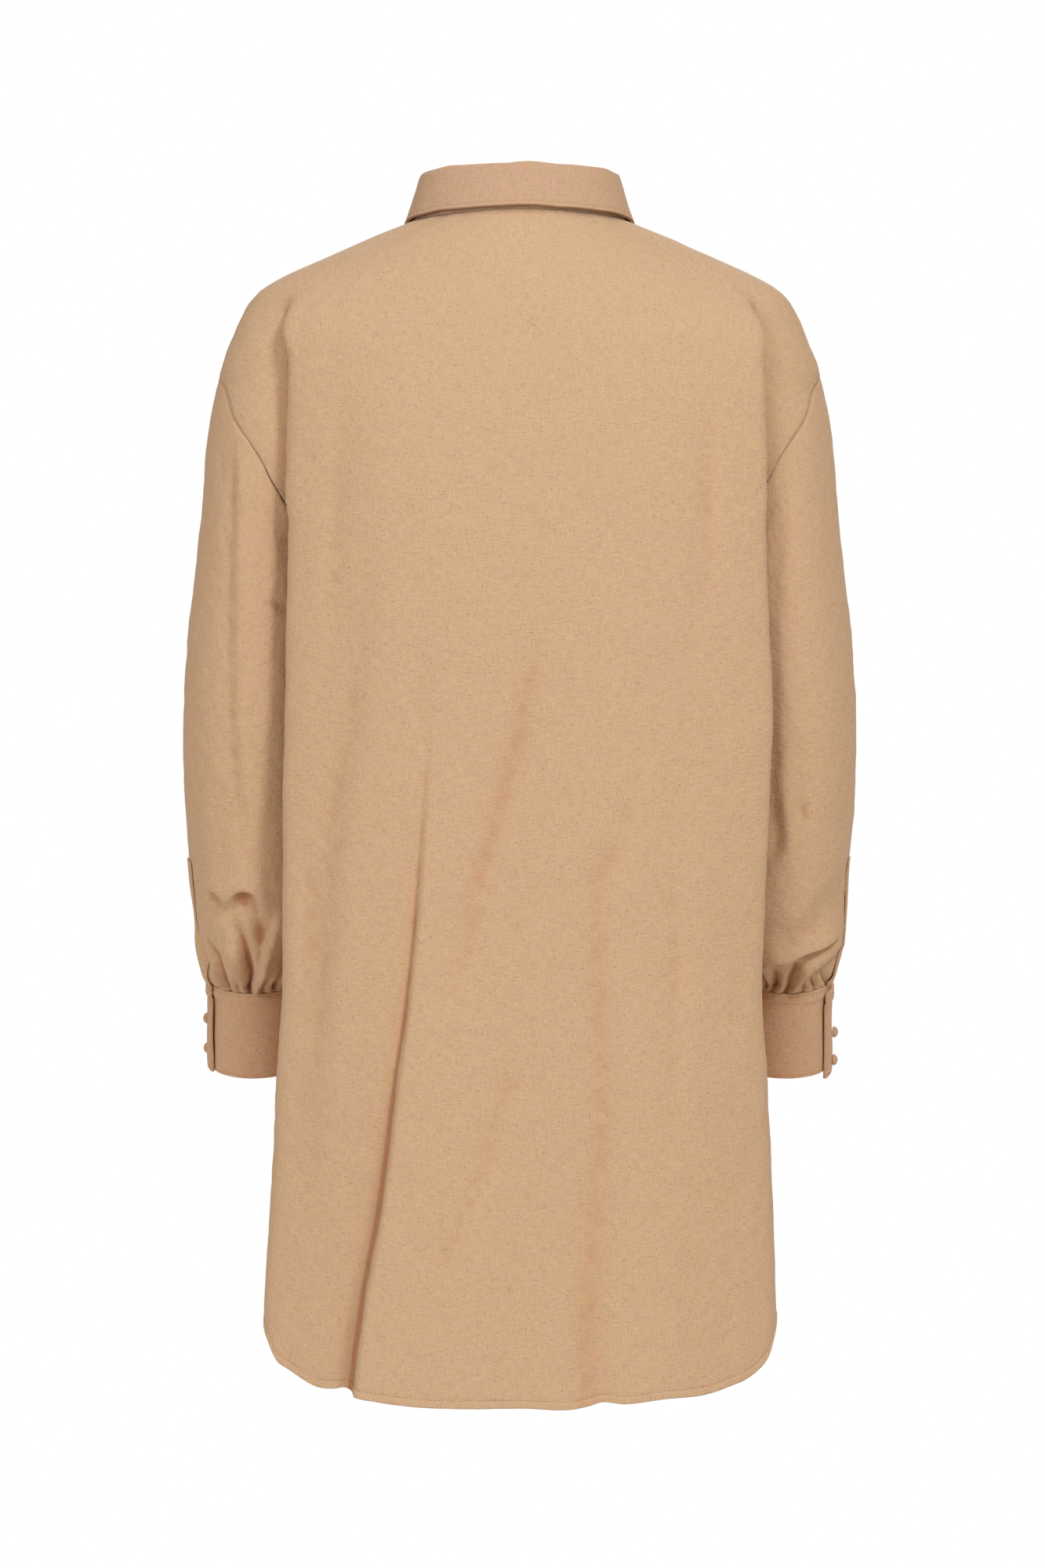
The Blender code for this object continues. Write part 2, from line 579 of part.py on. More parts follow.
def add_front_buttons():
    lift = (CLOTH + GAP) / 2 + GAP
    for number in range(FRONT_BUTTONS):
        down = FRONT_BUTTON_FIRST + number * FRONT_BUTTON_STEP
        level = level_of_height(down)
        here = body_place(1, 1, 0.0, level, lift)
        lower = body_place(1, 1, 0.0, level + 4.0, lift)
        slope = lower - here
        axis = (0, -slope[2], slope[1])
        add_button("front_button_%d" % (number + 1), here, axis)
    x, y, z = collar_round(math.pi, (BAND + GAP) / 2 - STAND_LEAN * 0.5 + GAP + 0.3)
    lean = math.atan2(STAND_LEAN, STAND_FRONT)
    add_button("collar_button", (x, y, z + GAP + STAND_FRONT * 0.5),
               (0, math.cos(lean), math.sin(lean)))


def level_of_height(height):
    """The panel level whose centre-front point lies this far down."""
    levels = np.linspace(NECK_SIDE_DOWN, 868, 3000)
    heights = -body_place(1, 1, 0 * levels, levels)[:, 2]
    return float(np.interp(height, heights, levels))


for old in list(bpy.data.objects):
    bpy.data.objects.remove(old)

PARTS = bpy.data.collections.new("shirt blouse")
bpy.context.scene.collection.children.link(PARTS)
TOTAL_ROWS = SHOULDER_ROWS + ARMHOLE_ROWS + SKIRT_ROWS
CLOTHS = {
    "back": material("linen blend, back", (0.66, 0.44, 0.25), 0.9),
    "front": material("linen blend, fronts", (0.65, 0.43, 0.245), 0.9),
    "sleeve": material("linen blend, sleeves", (0.62, 0.41, 0.23), 0.9),
    "cuff": material("linen blend, doubled cuff", (0.58, 0.37, 0.2), 0.88),
    "collar": material("linen blend, collar", (0.66, 0.44, 0.26), 0.88),
    "binding": material("linen blend, slit binding", (0.6, 0.39, 0.22), 0.9),
    "button": material("cloth-covered button", (0.6, 0.39, 0.21), 0.8),
}
BUTTON = button_mesh()

add_back()
add_front(-1)
add_front(1)
add_collar()
for way in (-1, 1):
    add_sleeve(way)
    add_cuff(way)
add_front_buttons()
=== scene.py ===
import math

import bmesh
import bpy
import numpy as np
from mathutils import Matrix, Vector
from mathutils.bvhtree import BVHTree


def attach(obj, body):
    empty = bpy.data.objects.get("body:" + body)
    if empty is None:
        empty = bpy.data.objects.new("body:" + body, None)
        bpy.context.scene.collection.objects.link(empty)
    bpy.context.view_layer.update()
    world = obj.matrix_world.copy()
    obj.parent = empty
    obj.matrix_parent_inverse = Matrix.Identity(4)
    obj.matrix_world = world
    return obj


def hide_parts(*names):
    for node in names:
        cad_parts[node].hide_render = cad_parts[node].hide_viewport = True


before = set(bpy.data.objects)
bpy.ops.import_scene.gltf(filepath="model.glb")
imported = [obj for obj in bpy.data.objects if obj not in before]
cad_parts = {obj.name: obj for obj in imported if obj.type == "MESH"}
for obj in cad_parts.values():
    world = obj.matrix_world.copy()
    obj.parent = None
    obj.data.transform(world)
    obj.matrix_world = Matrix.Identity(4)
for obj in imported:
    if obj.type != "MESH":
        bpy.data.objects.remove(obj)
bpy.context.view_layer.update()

MM = 0.001

# Camera
# Level and straight behind the blouse, as the photograph was taken, with a long lens. The
# picture's 2000 rows span 1.2 m at the blouse.
PICTURE_HIGH = 1.2
CAMERA_AWAY = 4.0
PICTURE_MIDDLE = (0.0021, -0.4398)   # across and up from the neck
FILM = 36.0              # millimetres along the picture's long side
camera_data = bpy.data.cameras.new("camera")
camera_data.sensor_width = FILM
camera_data.lens = FILM * CAMERA_AWAY / PICTURE_HIGH
camera = bpy.data.objects.new("camera", camera_data)
camera.location = (PICTURE_MIDDLE[0], -CAMERA_AWAY, PICTURE_MIDDLE[1])
camera.rotation_euler = (math.pi / 2, 0, 0)
bpy.context.scene.collection.objects.link(camera)
bpy.context.scene.camera = camera

# Back
# One large piece of the same linen and viscose cloth, with no yoke. It drops over the
# shoulders, hangs in a few long soft folds and ends in a shirt-tail with a narrow turned hem.
CLOTH = 1.0              # wall of a single cloth, millimetres
NECK_SIDE_DOWN = 10.0    # neck seam at the shoulders, below the centre back
BACK_RISE = 3.0          # how much higher the seam runs at the centre back
FRONT_DROP = 65.0        # how much lower it runs at the centre front
ARMHOLE_TOP = 124.0
NOOK = 242.0             # where the armhole seam leaves the arm for the underarm
UNDERARM = 254.0
NOOK_ROUND = 0.35
NOOK_SHARE = 3 / 7
CUFF_TOP = 591.0
SEAM_HALF_GAP = 0.2
HEM_WIDE = 6.0           # turned hem, from its edge to its stitching
HEM_PROUD = 0.5          # its three layers stand out this far
SKIRT_LONG = 620.0       # about, from the underarm to the hem
SHOULDER_ROWS = 0.14     # share of a panel's rows that lies above the armhole


def table(columns, rows):
    """Named columns of a table, each as an array."""
    names = columns.split()
    return {name: np.array([row[i] for row in rows], float) for i, name in enumerate(names)}


def rows_of(tab):
    """The rows of a table, each with its columns by name."""
    return [dict(zip(tab, row)) for row in zip(*tab.values())]


def hermite(start, end, leave, arrive, f):
    rise = f * f * (3 - 2 * f)
    return start * (1 - rise) + end * rise + f * (1 - f) * (leave * (1 - f) - arrive * f)


def along(tab, column, at):
    """A column read at any value of the table's first column, on a smooth curve."""
    xs, ys = next(iter(tab.values())), tab[column]
    slopes = np.gradient(ys, xs)
    at = np.clip(np.asarray(at, float), xs[0], xs[-1])
    i = np.clip(np.searchsorted(xs, at) - 1, 0, len(xs) - 2)
    span = xs[i + 1] - xs[i]
    f = (at - xs[i]) / span
    return hermite(ys[i], ys[i + 1], slopes[i] * span, slopes[i + 1] * span, f)


def ease(low, high, at):
    f = np.clip((np.asarray(at, float) - low) / (high - low), 0, 1)
    return f * f * (3 - 2 * f)


# Outermost reach of the shoulder and then of the sleeve, by the distance down from the neck
REACH = table("down outer", (
    (10, 82), (24, 117), (40, 153), (54, 184), (62, 197.5), (70, 205.5), (83, 213), (98, 219.5),
    (117, 227), (135, 231.5), (158, 236.5), (190, 240.5), (226, 243), (253, 246), (290, 250),
    (320, 253.5), (360, 256.5), (400, 258), (440, 257.5), (490, 254.5), (530, 251.5),
    (560, 249.5), (577, 246), (585, 243), (591, 239)))

# Oval of the arm at each level
ARM = table("down wide y deep", (
    (60, 46, 0, 54), (124, 50, 2, 58), (180, 52.5, 3, 62), (250, 50.5, 4, 66), (320, 54, 6, 67),
    (400, 55.5, 9, 66), (490, 54, 19, 65), (535, 52.5, 27, 66), (558, 49.5, 32, 62),
    (574, 45, 36, 54), (583, 39, 38, 46), (591, 34, 40, 39)))

# Depth of the back and front at the centre, and where each turns to the side
BODY = table("down back front edge_left edge_right edge_y front_edge front_y", (
    (10, 62, 58, 66, 66, 45, 66, 42), (60, 88, 80, 174, 178, 66, 165, 60),
    (124, 104, 98, 168, 180, 77, 168, 77), (180, 112, 112, 167.5, 181, 80, 168, 82),
    (250, 118, 121, 169, 182, 81, 168, 86), (320, 121, 124, 171.5, 185, 82, 168, 90),
    (390, 122, 126, 173, 188, 82, 167, 93), (440, 123, 127, 174.5, 186, 82, 166, 95),
    (530, 125, 129, 175, 182, 82, 164, 99), (600, 127, 130, 176, 179.5, 82, 163, 100),
    (650, 129, 130, 179.5, 183, 82, 165, 98), (740, 131, 131, 182.5, 186, 83, 174, 90),
    (820, 133, 132, 187, 188, 84, 183, 86), (900, 135, 133, 189, 189, 84, 187, 84)))

# Hollow of the body's side, where the sleeve hangs against it
SIDE = table("down nook_x back_y front_x front_y side_x side_y", (
    (242, 161, -46, 161, 54, 138, 5), (320, 160, -47, 160, 58, 138.5, 6),
    (400, 159, -46, 157, 60, 138, 9), (490, 158, -41, 153, 67, 138, 18),
    (560, 157, -35, 152, 72, 138, 28), (610, 157, -28, 152, 75, 142, 34),
    (670, 161, -28, 158, 72, 150, 32), (740, 171, -34, 170, 58, 164, 15),
    (900, 181, -44, 181, 45, 176, 5)))

# Armhole seam: share of its length from the shoulder to the underarm, and its turn round the
# arm from the outer side
ARMHOLE = table("share down turn", (
    (0, 124, 0), (0.15, 140, 35), (0.3, 163, 54), (0.45, 190, 79), (0.6, 216, 98),
    (0.7, 231, 112), (0.8, 242, 130), (0.9, 250, 155), (1, 254, 180)))
NOOK_TURN = table("down turn", (
    (60, 98), (124, 100), (190, 103), (216, 109), (231, 118), (242, 130), (254, 130)))

# Hem, by the place across the panel: 0 centre, 2 edge, 4 side seam, left of the photograph
# below 0. The back's has a step where the sharp fold meets it and a notch at the soft one.
BACK_HEM = table("place down", (
    (-4, 797), (-3.2, 812), (-2.5, 834), (-2.12, 850), (-2, 858), (-1.93, 866), (-1.87, 872),
    (-1.76, 877.5), (-1.63, 884.5), (-1.53, 889.5), (-1.42, 890.5), (-1.33, 889.5),
    (-1.27, 893), (-1.1, 897), (-0.87, 899.8), (-0.5, 901.3), (0, 901.5), (0.5, 901.5),
    (0.56, 900.2), (0.62, 898), (0.83, 898.6), (1.12, 895.6), (1.45, 892.8), (1.58, 888.7),
    (1.7, 884.6), (1.84, 877), (1.94, 869.5), (2, 862), (2.12, 850), (2.5, 834), (3.2, 812),
    (4, 797)))
FRONT_HEM = table("place down", (
    (-0.3, 868), (0, 868), (0.7, 867), (1.3, 860), (1.7, 852), (1.9, 846), (2.1, 838),
    (2.6, 822), (3.2, 808), (4, 797)))

# Long soft folds of the fronts, as in the solids: a ridge with its hollow on one side
FOLDS = table("x_top top x_mid x_end end wide stand_top stand_end", (
    (70, 260, 92, 112, 880, 26, 2, 8),
    (-60, 300, -86, -100, 880, 26, 2, 9)))

# Creases of the back, each a path of points: across and down in millimetres, how wide it is
# and how far it stands out, or in where that is below 0. The sharp fold hangs over what is
# behind it, and the shoulder fold is a soft step.
SHARP_FOLD = (
    (-69, 385, 26, 0), (-67, 420, 26, 0.5), (-69, 455, 28, 1.6), (-73, 510, 30, 3.2),
    (-77, 560, 32, 4.2), (-83, 615, 34, 5.4), (-89, 655, 36, 6.4), (-97, 723, 38, 8.4),
    (-104, 772, 40, 9.8), (-110, 802, 42, 11.0), (-116, 841, 44, 12.2), (-124, 905, 46, 13.4))
SHOULDER_FOLD = (
    (-101, 250, 24, 0), (-112, 310, 25, 1.8), (-120, 399, 26, 3.4), (-129, 444, 27, 4.4),
    (-138, 533, 28, 4.6), (-143, 600, 28, 4.4), (-149, 664, 28, 3.2), (-156, 790, 28, 0))
BACK_SOFT = (
    ((-74, 250, 12, 0), (-76, 310, 12, -1.2), (-75, 370, 11, -1.8), (-73, 420, 10, -1.2),
     (-76, 470, 10, 0)),
    ((24, 300, 10, 0), (12, 345, 10, -1.8), (3, 385, 10, -2.8), (-7, 430, 11, -3.5),
     (-20, 475, 11, -3.6), (-33, 527, 12, -3.4), (-44, 570, 12, -2.6), (-52, 610, 12, 0)),
    ((38, 310, 14, 0), (27, 350, 14, 1.2), (18, 390, 14, 1.8), (8, 435, 14, 1.8),
     (-5, 480, 14, 1.6), (-18, 530, 14, 1.0), (-30, 575, 14, 0)),
    ((-4, 630, 10, 0), (-10, 670, 11, -1.8), (-30, 730, 11, -2.6), (-52, 785, 12, -2.2),
     (-66, 850, 12, 0)),
    ((84, 440, 10, 0), (74, 480, 11, -2.2), (57, 515, 12, -3.6), (57, 556, 12, -4.2),
     (60, 615, 13, -4.6), (61, 684, 13, -4.8), (59, 724, 13, -5.0), (55, 763, 14, -5.4),
     (52, 802, 14, -5.8), (50, 840, 14, -6.4), (52, 905, 14, -7.0)),
    ((100, 560, 26, 0), (104, 660, 27, 2.6), (108, 780, 28, 3.2), (112, 905, 28, 2.8)),
    ((-30, 640, 26, 0), (-36, 740, 28, 2.2), (-42, 905, 28, 3.0)),
    ((-100, 110, 18, 0), (-106, 200, 20, 1.8), (-108, 300, 20, 0)),
    ((148, 120, 10, 0), (141, 190, 10, -1.9), (139, 270, 11, -2.2), (140, 350, 11, 0)),
    ((-132, 130, 10, 0), (-136, 200, 10, -1.7), (-138, 290, 11, -1.8), (-140, 380, 11, 0)),
    ((20, 180, 22, 0), (60, 250, 22, -1.2), (84, 330, 22, 0)),
    ((-40, 60, 18, 0), (-62, 120, 20, -1.0), (-70, 190, 20, 0)),
    ((52, 50, 18, 0), (88, 100, 20, -1.2), (104, 160, 20, 0)),
    ((140, 430, 18, 0), (136, 520, 20, 2.2), (134, 620, 20, 2.6), (138, 720, 20, 1.8),
     (140, 800, 20, 0)),
    ((118, 470, 9, 0), (116, 540, 10, -1.4), (113, 640, 10, -1.6), (112, 730, 10, 0)),
    ((-160, 480, 10, 0), (-158, 540, 10, -1.6), (-160, 640, 10, 0)),
)
SHARP_EDGE = 1.5         # half width of the sharp fold's steep side
SHARP_OVER = 0.18        # it hangs over by this share of its depth
SHARP_REACH = 9          # and draws in the cloth this far beside it
SHOULDER_EDGE = 9.0      # half width of the shoulder fold's slope


def arm_oval(side, turn, down):
    """A place on the arm's oval: turn 0 is outermost, a quarter turn is the back."""
    wide = along(ARM, "wide", down)
    middle = along(REACH, "outer", down) - wide
    x = side * (middle + wide * np.cos(turn))
    return x, along(ARM, "y", down) - along(ARM, "deep", down) * np.sin(turn)


# Turn round the plain oval of the shoulders at the places 0 to 6
OVAL_TURNS = np.radians((0, 25, 49, 62, 72, 81, 90))


def body_outline(side, face, place, down):
    """A place on the body at one level: 0 centre, 2 edge, 3 nook, then arm or side seam."""
    mirror = np.where(place < 0, -1.0, 1.0)
    place = np.abs(place)
    reach = along(REACH, "outer", down)
    depth = along(BODY, "back" if face < 0 else "front", down)
    turn = np.interp(place, range(7), OVAL_TURNS)
    oval_x, oval_y = reach * np.sin(turn), depth * np.cos(turn)
    if face < 0:
        edge_x = along(BODY, "edge_left" if side < 0 else "edge_right", down)
        edge_y = along(BODY, "edge_y", down)
    else:
        edge_x, edge_y = along(BODY, "front_edge", down), along(BODY, "front_y", down)
    arm_y = along(ARM, "y", down)
    nook_turn = np.radians(along(NOOK_TURN, "turn", down))
    arm_x, arm_back = arm_oval(1, nook_turn * (6 - np.clip(place, 3, 6)) / 3, down)
    nook_x, nook_back = arm_oval(1, nook_turn, down)
    nook_y = -nook_back if face < 0 else 2 * arm_y - nook_back
    arm_out = -arm_back if face < 0 else 2 * arm_y - arm_back
    free = ease(NOOK, NOOK + 45, down)
    free_x = along(SIDE, "nook_x" if face < 0 else "front_x", down)
    free_y = face * along(SIDE, "back_y" if face < 0 else "front_y", down)
    nook_x = nook_x * (1 - free) + free_x * free
    nook_y = nook_y * (1 - free) + free_y * free
    side_x, side_y = along(SIDE, "side_x", down), face * along(SIDE, "side_y", down)

    mid_x, mid_y = edge_x * 0.5, depth * 0.965
    below = down > NOOK
    sidewards = ease(NOOK - 50, NOOK, down)
    turned_x = along(ARM, "wide", down) * np.sin(nook_turn) * NOOK_ROUND
    turned_y = -along(ARM, "deep", down) * np.cos(nook_turn) * NOOK_ROUND
    nook_go_x = turned_x * (1 - sidewards) + (side_x - edge_x) * 0.3 * sidewards
    nook_go_y = turned_y * (1 - sidewards) + (side_y - edge_y) * 0.62 * sidewards
    edge_go_x, edge_go_y = (nook_x - mid_x) * 0.5, (nook_y - mid_y) * 0.5
    mid_go_x, mid_go_y = edge_x * 0.5, (edge_y - depth) * 0.5

    f = place - np.floor(place)
    first = hermite(0, mid_x, mid_x, mid_go_x, f), hermite(depth, mid_y, 0, mid_go_y, f)
    second = (hermite(mid_x, edge_x, mid_go_x, edge_go_x, f),
              hermite(mid_y, edge_y, mid_go_y, edge_go_y, f))
    third = (hermite(edge_x, nook_x, edge_go_x, nook_go_x, f),
             hermite(edge_y, nook_y, edge_go_y, nook_go_y, f))
    f4 = np.clip(place - 3, 0, 1)
    last = (hermite(nook_x, side_x, nook_go_x, 0, f4),
            hermite(nook_y, side_y, nook_go_y, side_y - nook_y, f4))
    spans = [place < 1, place < 2, place < 3, below]
    x = np.select(spans, (first[0], second[0], third[0], last[0]), arm_x)
    y = np.select(spans, (first[1], second[1], third[1], last[1]), arm_out)
    armed = ease(56, 122, down)
    x = oval_x * (1 - armed) + x * armed
    y = oval_y * (1 - armed) + y * armed
    return side * mirror * x, face * y


def neck_lift(face, x, down):
    """Height added near the neck, so that the seam rises behind and drops before."""
    share = np.clip(1 - (x / along(REACH, "outer", down)) ** 2, 0, 1)
    if face < 0:
        return BACK_RISE * share * (1 - ease(10, 110, down))
    return -FRONT_DROP * share * (1 - ease(10, 260, down))


def beside(across, down, points):
    """How far each place lies from a crease's path, more than 0 to its right, and the width
    and depth of the crease there."""
    tab = table("place across down wide deep", [(i, *row) for i, row in enumerate(points)])
    at = np.linspace(0, len(points) - 1, 5 * (len(points) - 1) + 1)
    path_x, path_y, wide, deep = (along(tab, name, at) for name in ("across", "down", "wide", "deep"))
    nearest = np.full(across.shape, 1e9)
    signed, wide_here, deep_here = (np.ones(across.shape) for _ in range(3))
    for i in range(len(at) - 1):
        run_x, run_y = path_x[i + 1] - path_x[i], path_y[i + 1] - path_y[i]
        off_x, off_y = across - path_x[i], down - path_y[i]
        f = np.clip((off_x * run_x + off_y * run_y) / (run_x ** 2 + run_y ** 2), 0, 1)
        off_x, off_y = off_x - f * run_x, off_y - f * run_y
        away = np.hypot(off_x, off_y)
        closer = away < nearest
        signed = np.where(closer, away * np.sign(off_x * run_y - off_y * run_x), signed)
        wide_here = np.where(closer, wide[i] + (wide[i + 1] - wide[i]) * f, wide_here)
        deep_here = np.where(closer, deep[i] + (deep[i + 1] - deep[i]) * f, deep_here)
        nearest = np.minimum(nearest, away)
    return signed, wide_here, deep_here


def crease(across, down, points, step=0.0, hollow=1.0):
    """How far one crease lifts the cloth at each place. A step lifts what lies to the right
    of its path and sinks what lies to the left, hollow times as wide."""
    signed, wide, deep = beside(across, down, points)
    if step:
        reach = np.where(signed < 0, wide * hollow, wide)
        return deep * np.tanh(signed / step) * np.exp(-np.abs(signed) / reach)
    return deep * np.exp(-(signed / wide) ** 2)


def fold_relief(x, down):
    """How far the fronts' long folds stand out at a place."""
    total = np.zeros_like(np.asarray(x, float))
    for row in rows_of(FOLDS):
        f = np.clip((down - row["top"]) / (row["end"] - row["top"]), 0, 1)
        path = (row["x_top"] * (1 - f) * (1 - 2 * f) + 4 * row["x_mid"] * f * (1 - f)
                + row["x_end"] * f * (2 * f - 1))
        stand = (row["stand_top"] + (row["stand_end"] - row["stand_top"]) * f)
        stand = stand * ease(row["top"] - 60, row["top"] + 60, down)
        off = (x - path) / row["wide"]
        total = total + stand * (np.exp(-(off - 0.6) ** 2) - 0.7 * np.exp(-(off + 0.7) ** 2 * 1.4))
    return total


def body_place(side, face, place, down, out=0.0):
    """A point of the panels, with the folds and the rise and drop at the neck."""
    place, down = np.broadcast_arrays(np.asarray(place, float), np.asarray(down, float))
    x, y = body_outline(side, face, place, down)
    if face > 0:
        relief = fold_relief(x, down) * (1 - ease(1.35, 1.95, np.abs(place)))
    else:
        signed, wide, deep = beside(x, down, SHARP_FOLD)
        relief = deep * np.tanh(signed / SHARP_EDGE) * np.exp(-np.abs(signed) / wide)
        relief = relief + crease(x, down, SHOULDER_FOLD, SHOULDER_EDGE)
        relief = relief + sum(crease(x, down, path) for path in BACK_SOFT)
        relief = relief * (1 - ease(1.72, 2.05, np.abs(place)))
        near = np.exp(-np.maximum(signed, 0) / SHARP_REACH)
        over = 0.5 * (1 + np.tanh(signed / SHARP_EDGE)) * near
        x = x - SHARP_OVER * deep * over * (1 - ease(1.6, 1.9, np.abs(place)))
    return np.stack([x, y + face * (relief + out), neck_lift(face, x, down) - down], -1)


def panel_level(face, side, level, share):
    """The distance down and the place across of a panel's grid point. Level runs 0 to 1 down
    the shoulder, to 2 down the armhole and to 3 down to the hem; share is 0 at the centre, 1
    at the edge and 2 at the seam."""
    shoulder = NECK_SIDE_DOWN + (ARMHOLE_TOP - NECK_SIDE_DOWN) * np.clip(level, 0, 1)
    seam_share = np.clip(level - 1, 0, 1)
    armhole = along(ARMHOLE, "down", seam_share)
    turn = np.radians(along(ARMHOLE, "turn", seam_share))
    nook_turn = np.radians(along(NOOK_TURN, "turn", armhole))
    seam = np.where(armhole < NOOK, 6 - 3 * turn / nook_turn,
                    3 + (turn - nook_turn) / (math.pi - nook_turn))
    last = np.where(level <= 1, 6.0, seam)
    turn_out = np.minimum(3.0, 2 + (last - 2) * 0.8)
    far = np.clip(share - 1, 0, 1)
    beyond = np.clip((far - NOOK_SHARE) / (1 - NOOK_SHARE), 0, 1)
    outer = np.where(far < NOOK_SHARE, 2 + (turn_out - 2) * far / NOOK_SHARE,
                     turn_out + (last - turn_out) * beyond)
    place = np.where(share <= 1, 2 * share, outer)
    hem = along(BACK_HEM if face < 0 else FRONT_HEM, "down", place * (side if face < 0 else 1))
    skirt = np.clip(level - 2, 0, 1)
    down = np.where(level <= 1, shoulder, armhole)
    return np.where(skirt > 0, UNDERARM + (hem - UNDERARM) * skirt, down), place


def panel_rows(v):
    """Spreads the rows of a panel over its levels, with close rows in the hem."""
    return np.interp(v, (0, SHOULDER_ROWS, 0.36, 0.95, 1), (0, 1, 2, 2.982, 3))


def hem_relief(away):
    """The turned hem's layers stand out below its stitching, which pulls the cloth in."""
    band = HEM_PROUD * (1 - ease(HEM_WIDE - 1.0, HEM_WIDE, away))
    return band - 0.45 * np.exp(-((away - HEM_WIDE) / 0.9) ** 2)


def crinkle(across, down, seed):
    """Fine uneven ripples that washing leaves in the cloth, about a fifth of a millimetre.
    Each wave runs its own way and shows only in patches of its own."""
    draw = np.random.default_rng(seed)
    total = np.zeros(across.shape)
    for length, height in ((52, 0.13), (34, 0.11), (23, 0.09), (15, 0.07), (10, 0.05)):
        for _ in range(5):
            angle, turned = draw.uniform(-1.4, 1.4, 2)
            phase, drift = draw.uniform(0, 2 * math.pi, 2)
            spread = length * draw.uniform(0.8, 1.25)
            wave = 2 * math.pi * (across * math.cos(angle) + down * math.sin(angle)) / spread
            along_it = (down * math.cos(turned) - across * math.sin(turned)) / spread
            here = 0.5 + 0.5 * np.sin(1.3 * along_it + drift) * np.sin(0.9 * wave / math.pi + phase)
            total += height * here * np.sin(wave + phase + 1.6 * np.sin(1.1 * along_it + phase))
    return total


def linear(code):
    """An sRGB hex colour as linear red, green, blue and alpha."""
    parts = (int(code[i:i + 2], 16) / 255 for i in (0, 2, 4))
    return tuple(c / 12.92 if c <= 0.04045 else ((c + 0.055) / 1.055) ** 2.4 for c in parts) + (1,)


def add_node(tree, kind, settings=(), values=(), links=()):
    """Adds a node, sets its settings and socket values, and links sockets to earlier ones."""
    node = tree.nodes.new(kind)
    for name, value in dict(settings).items():
        setattr(node, name, value)
    for socket, value in dict(values).items():
        node.inputs[socket].default_value = value
    for socket, source in dict(links).items():
        tree.links.new(source, node.inputs[socket])
    return node


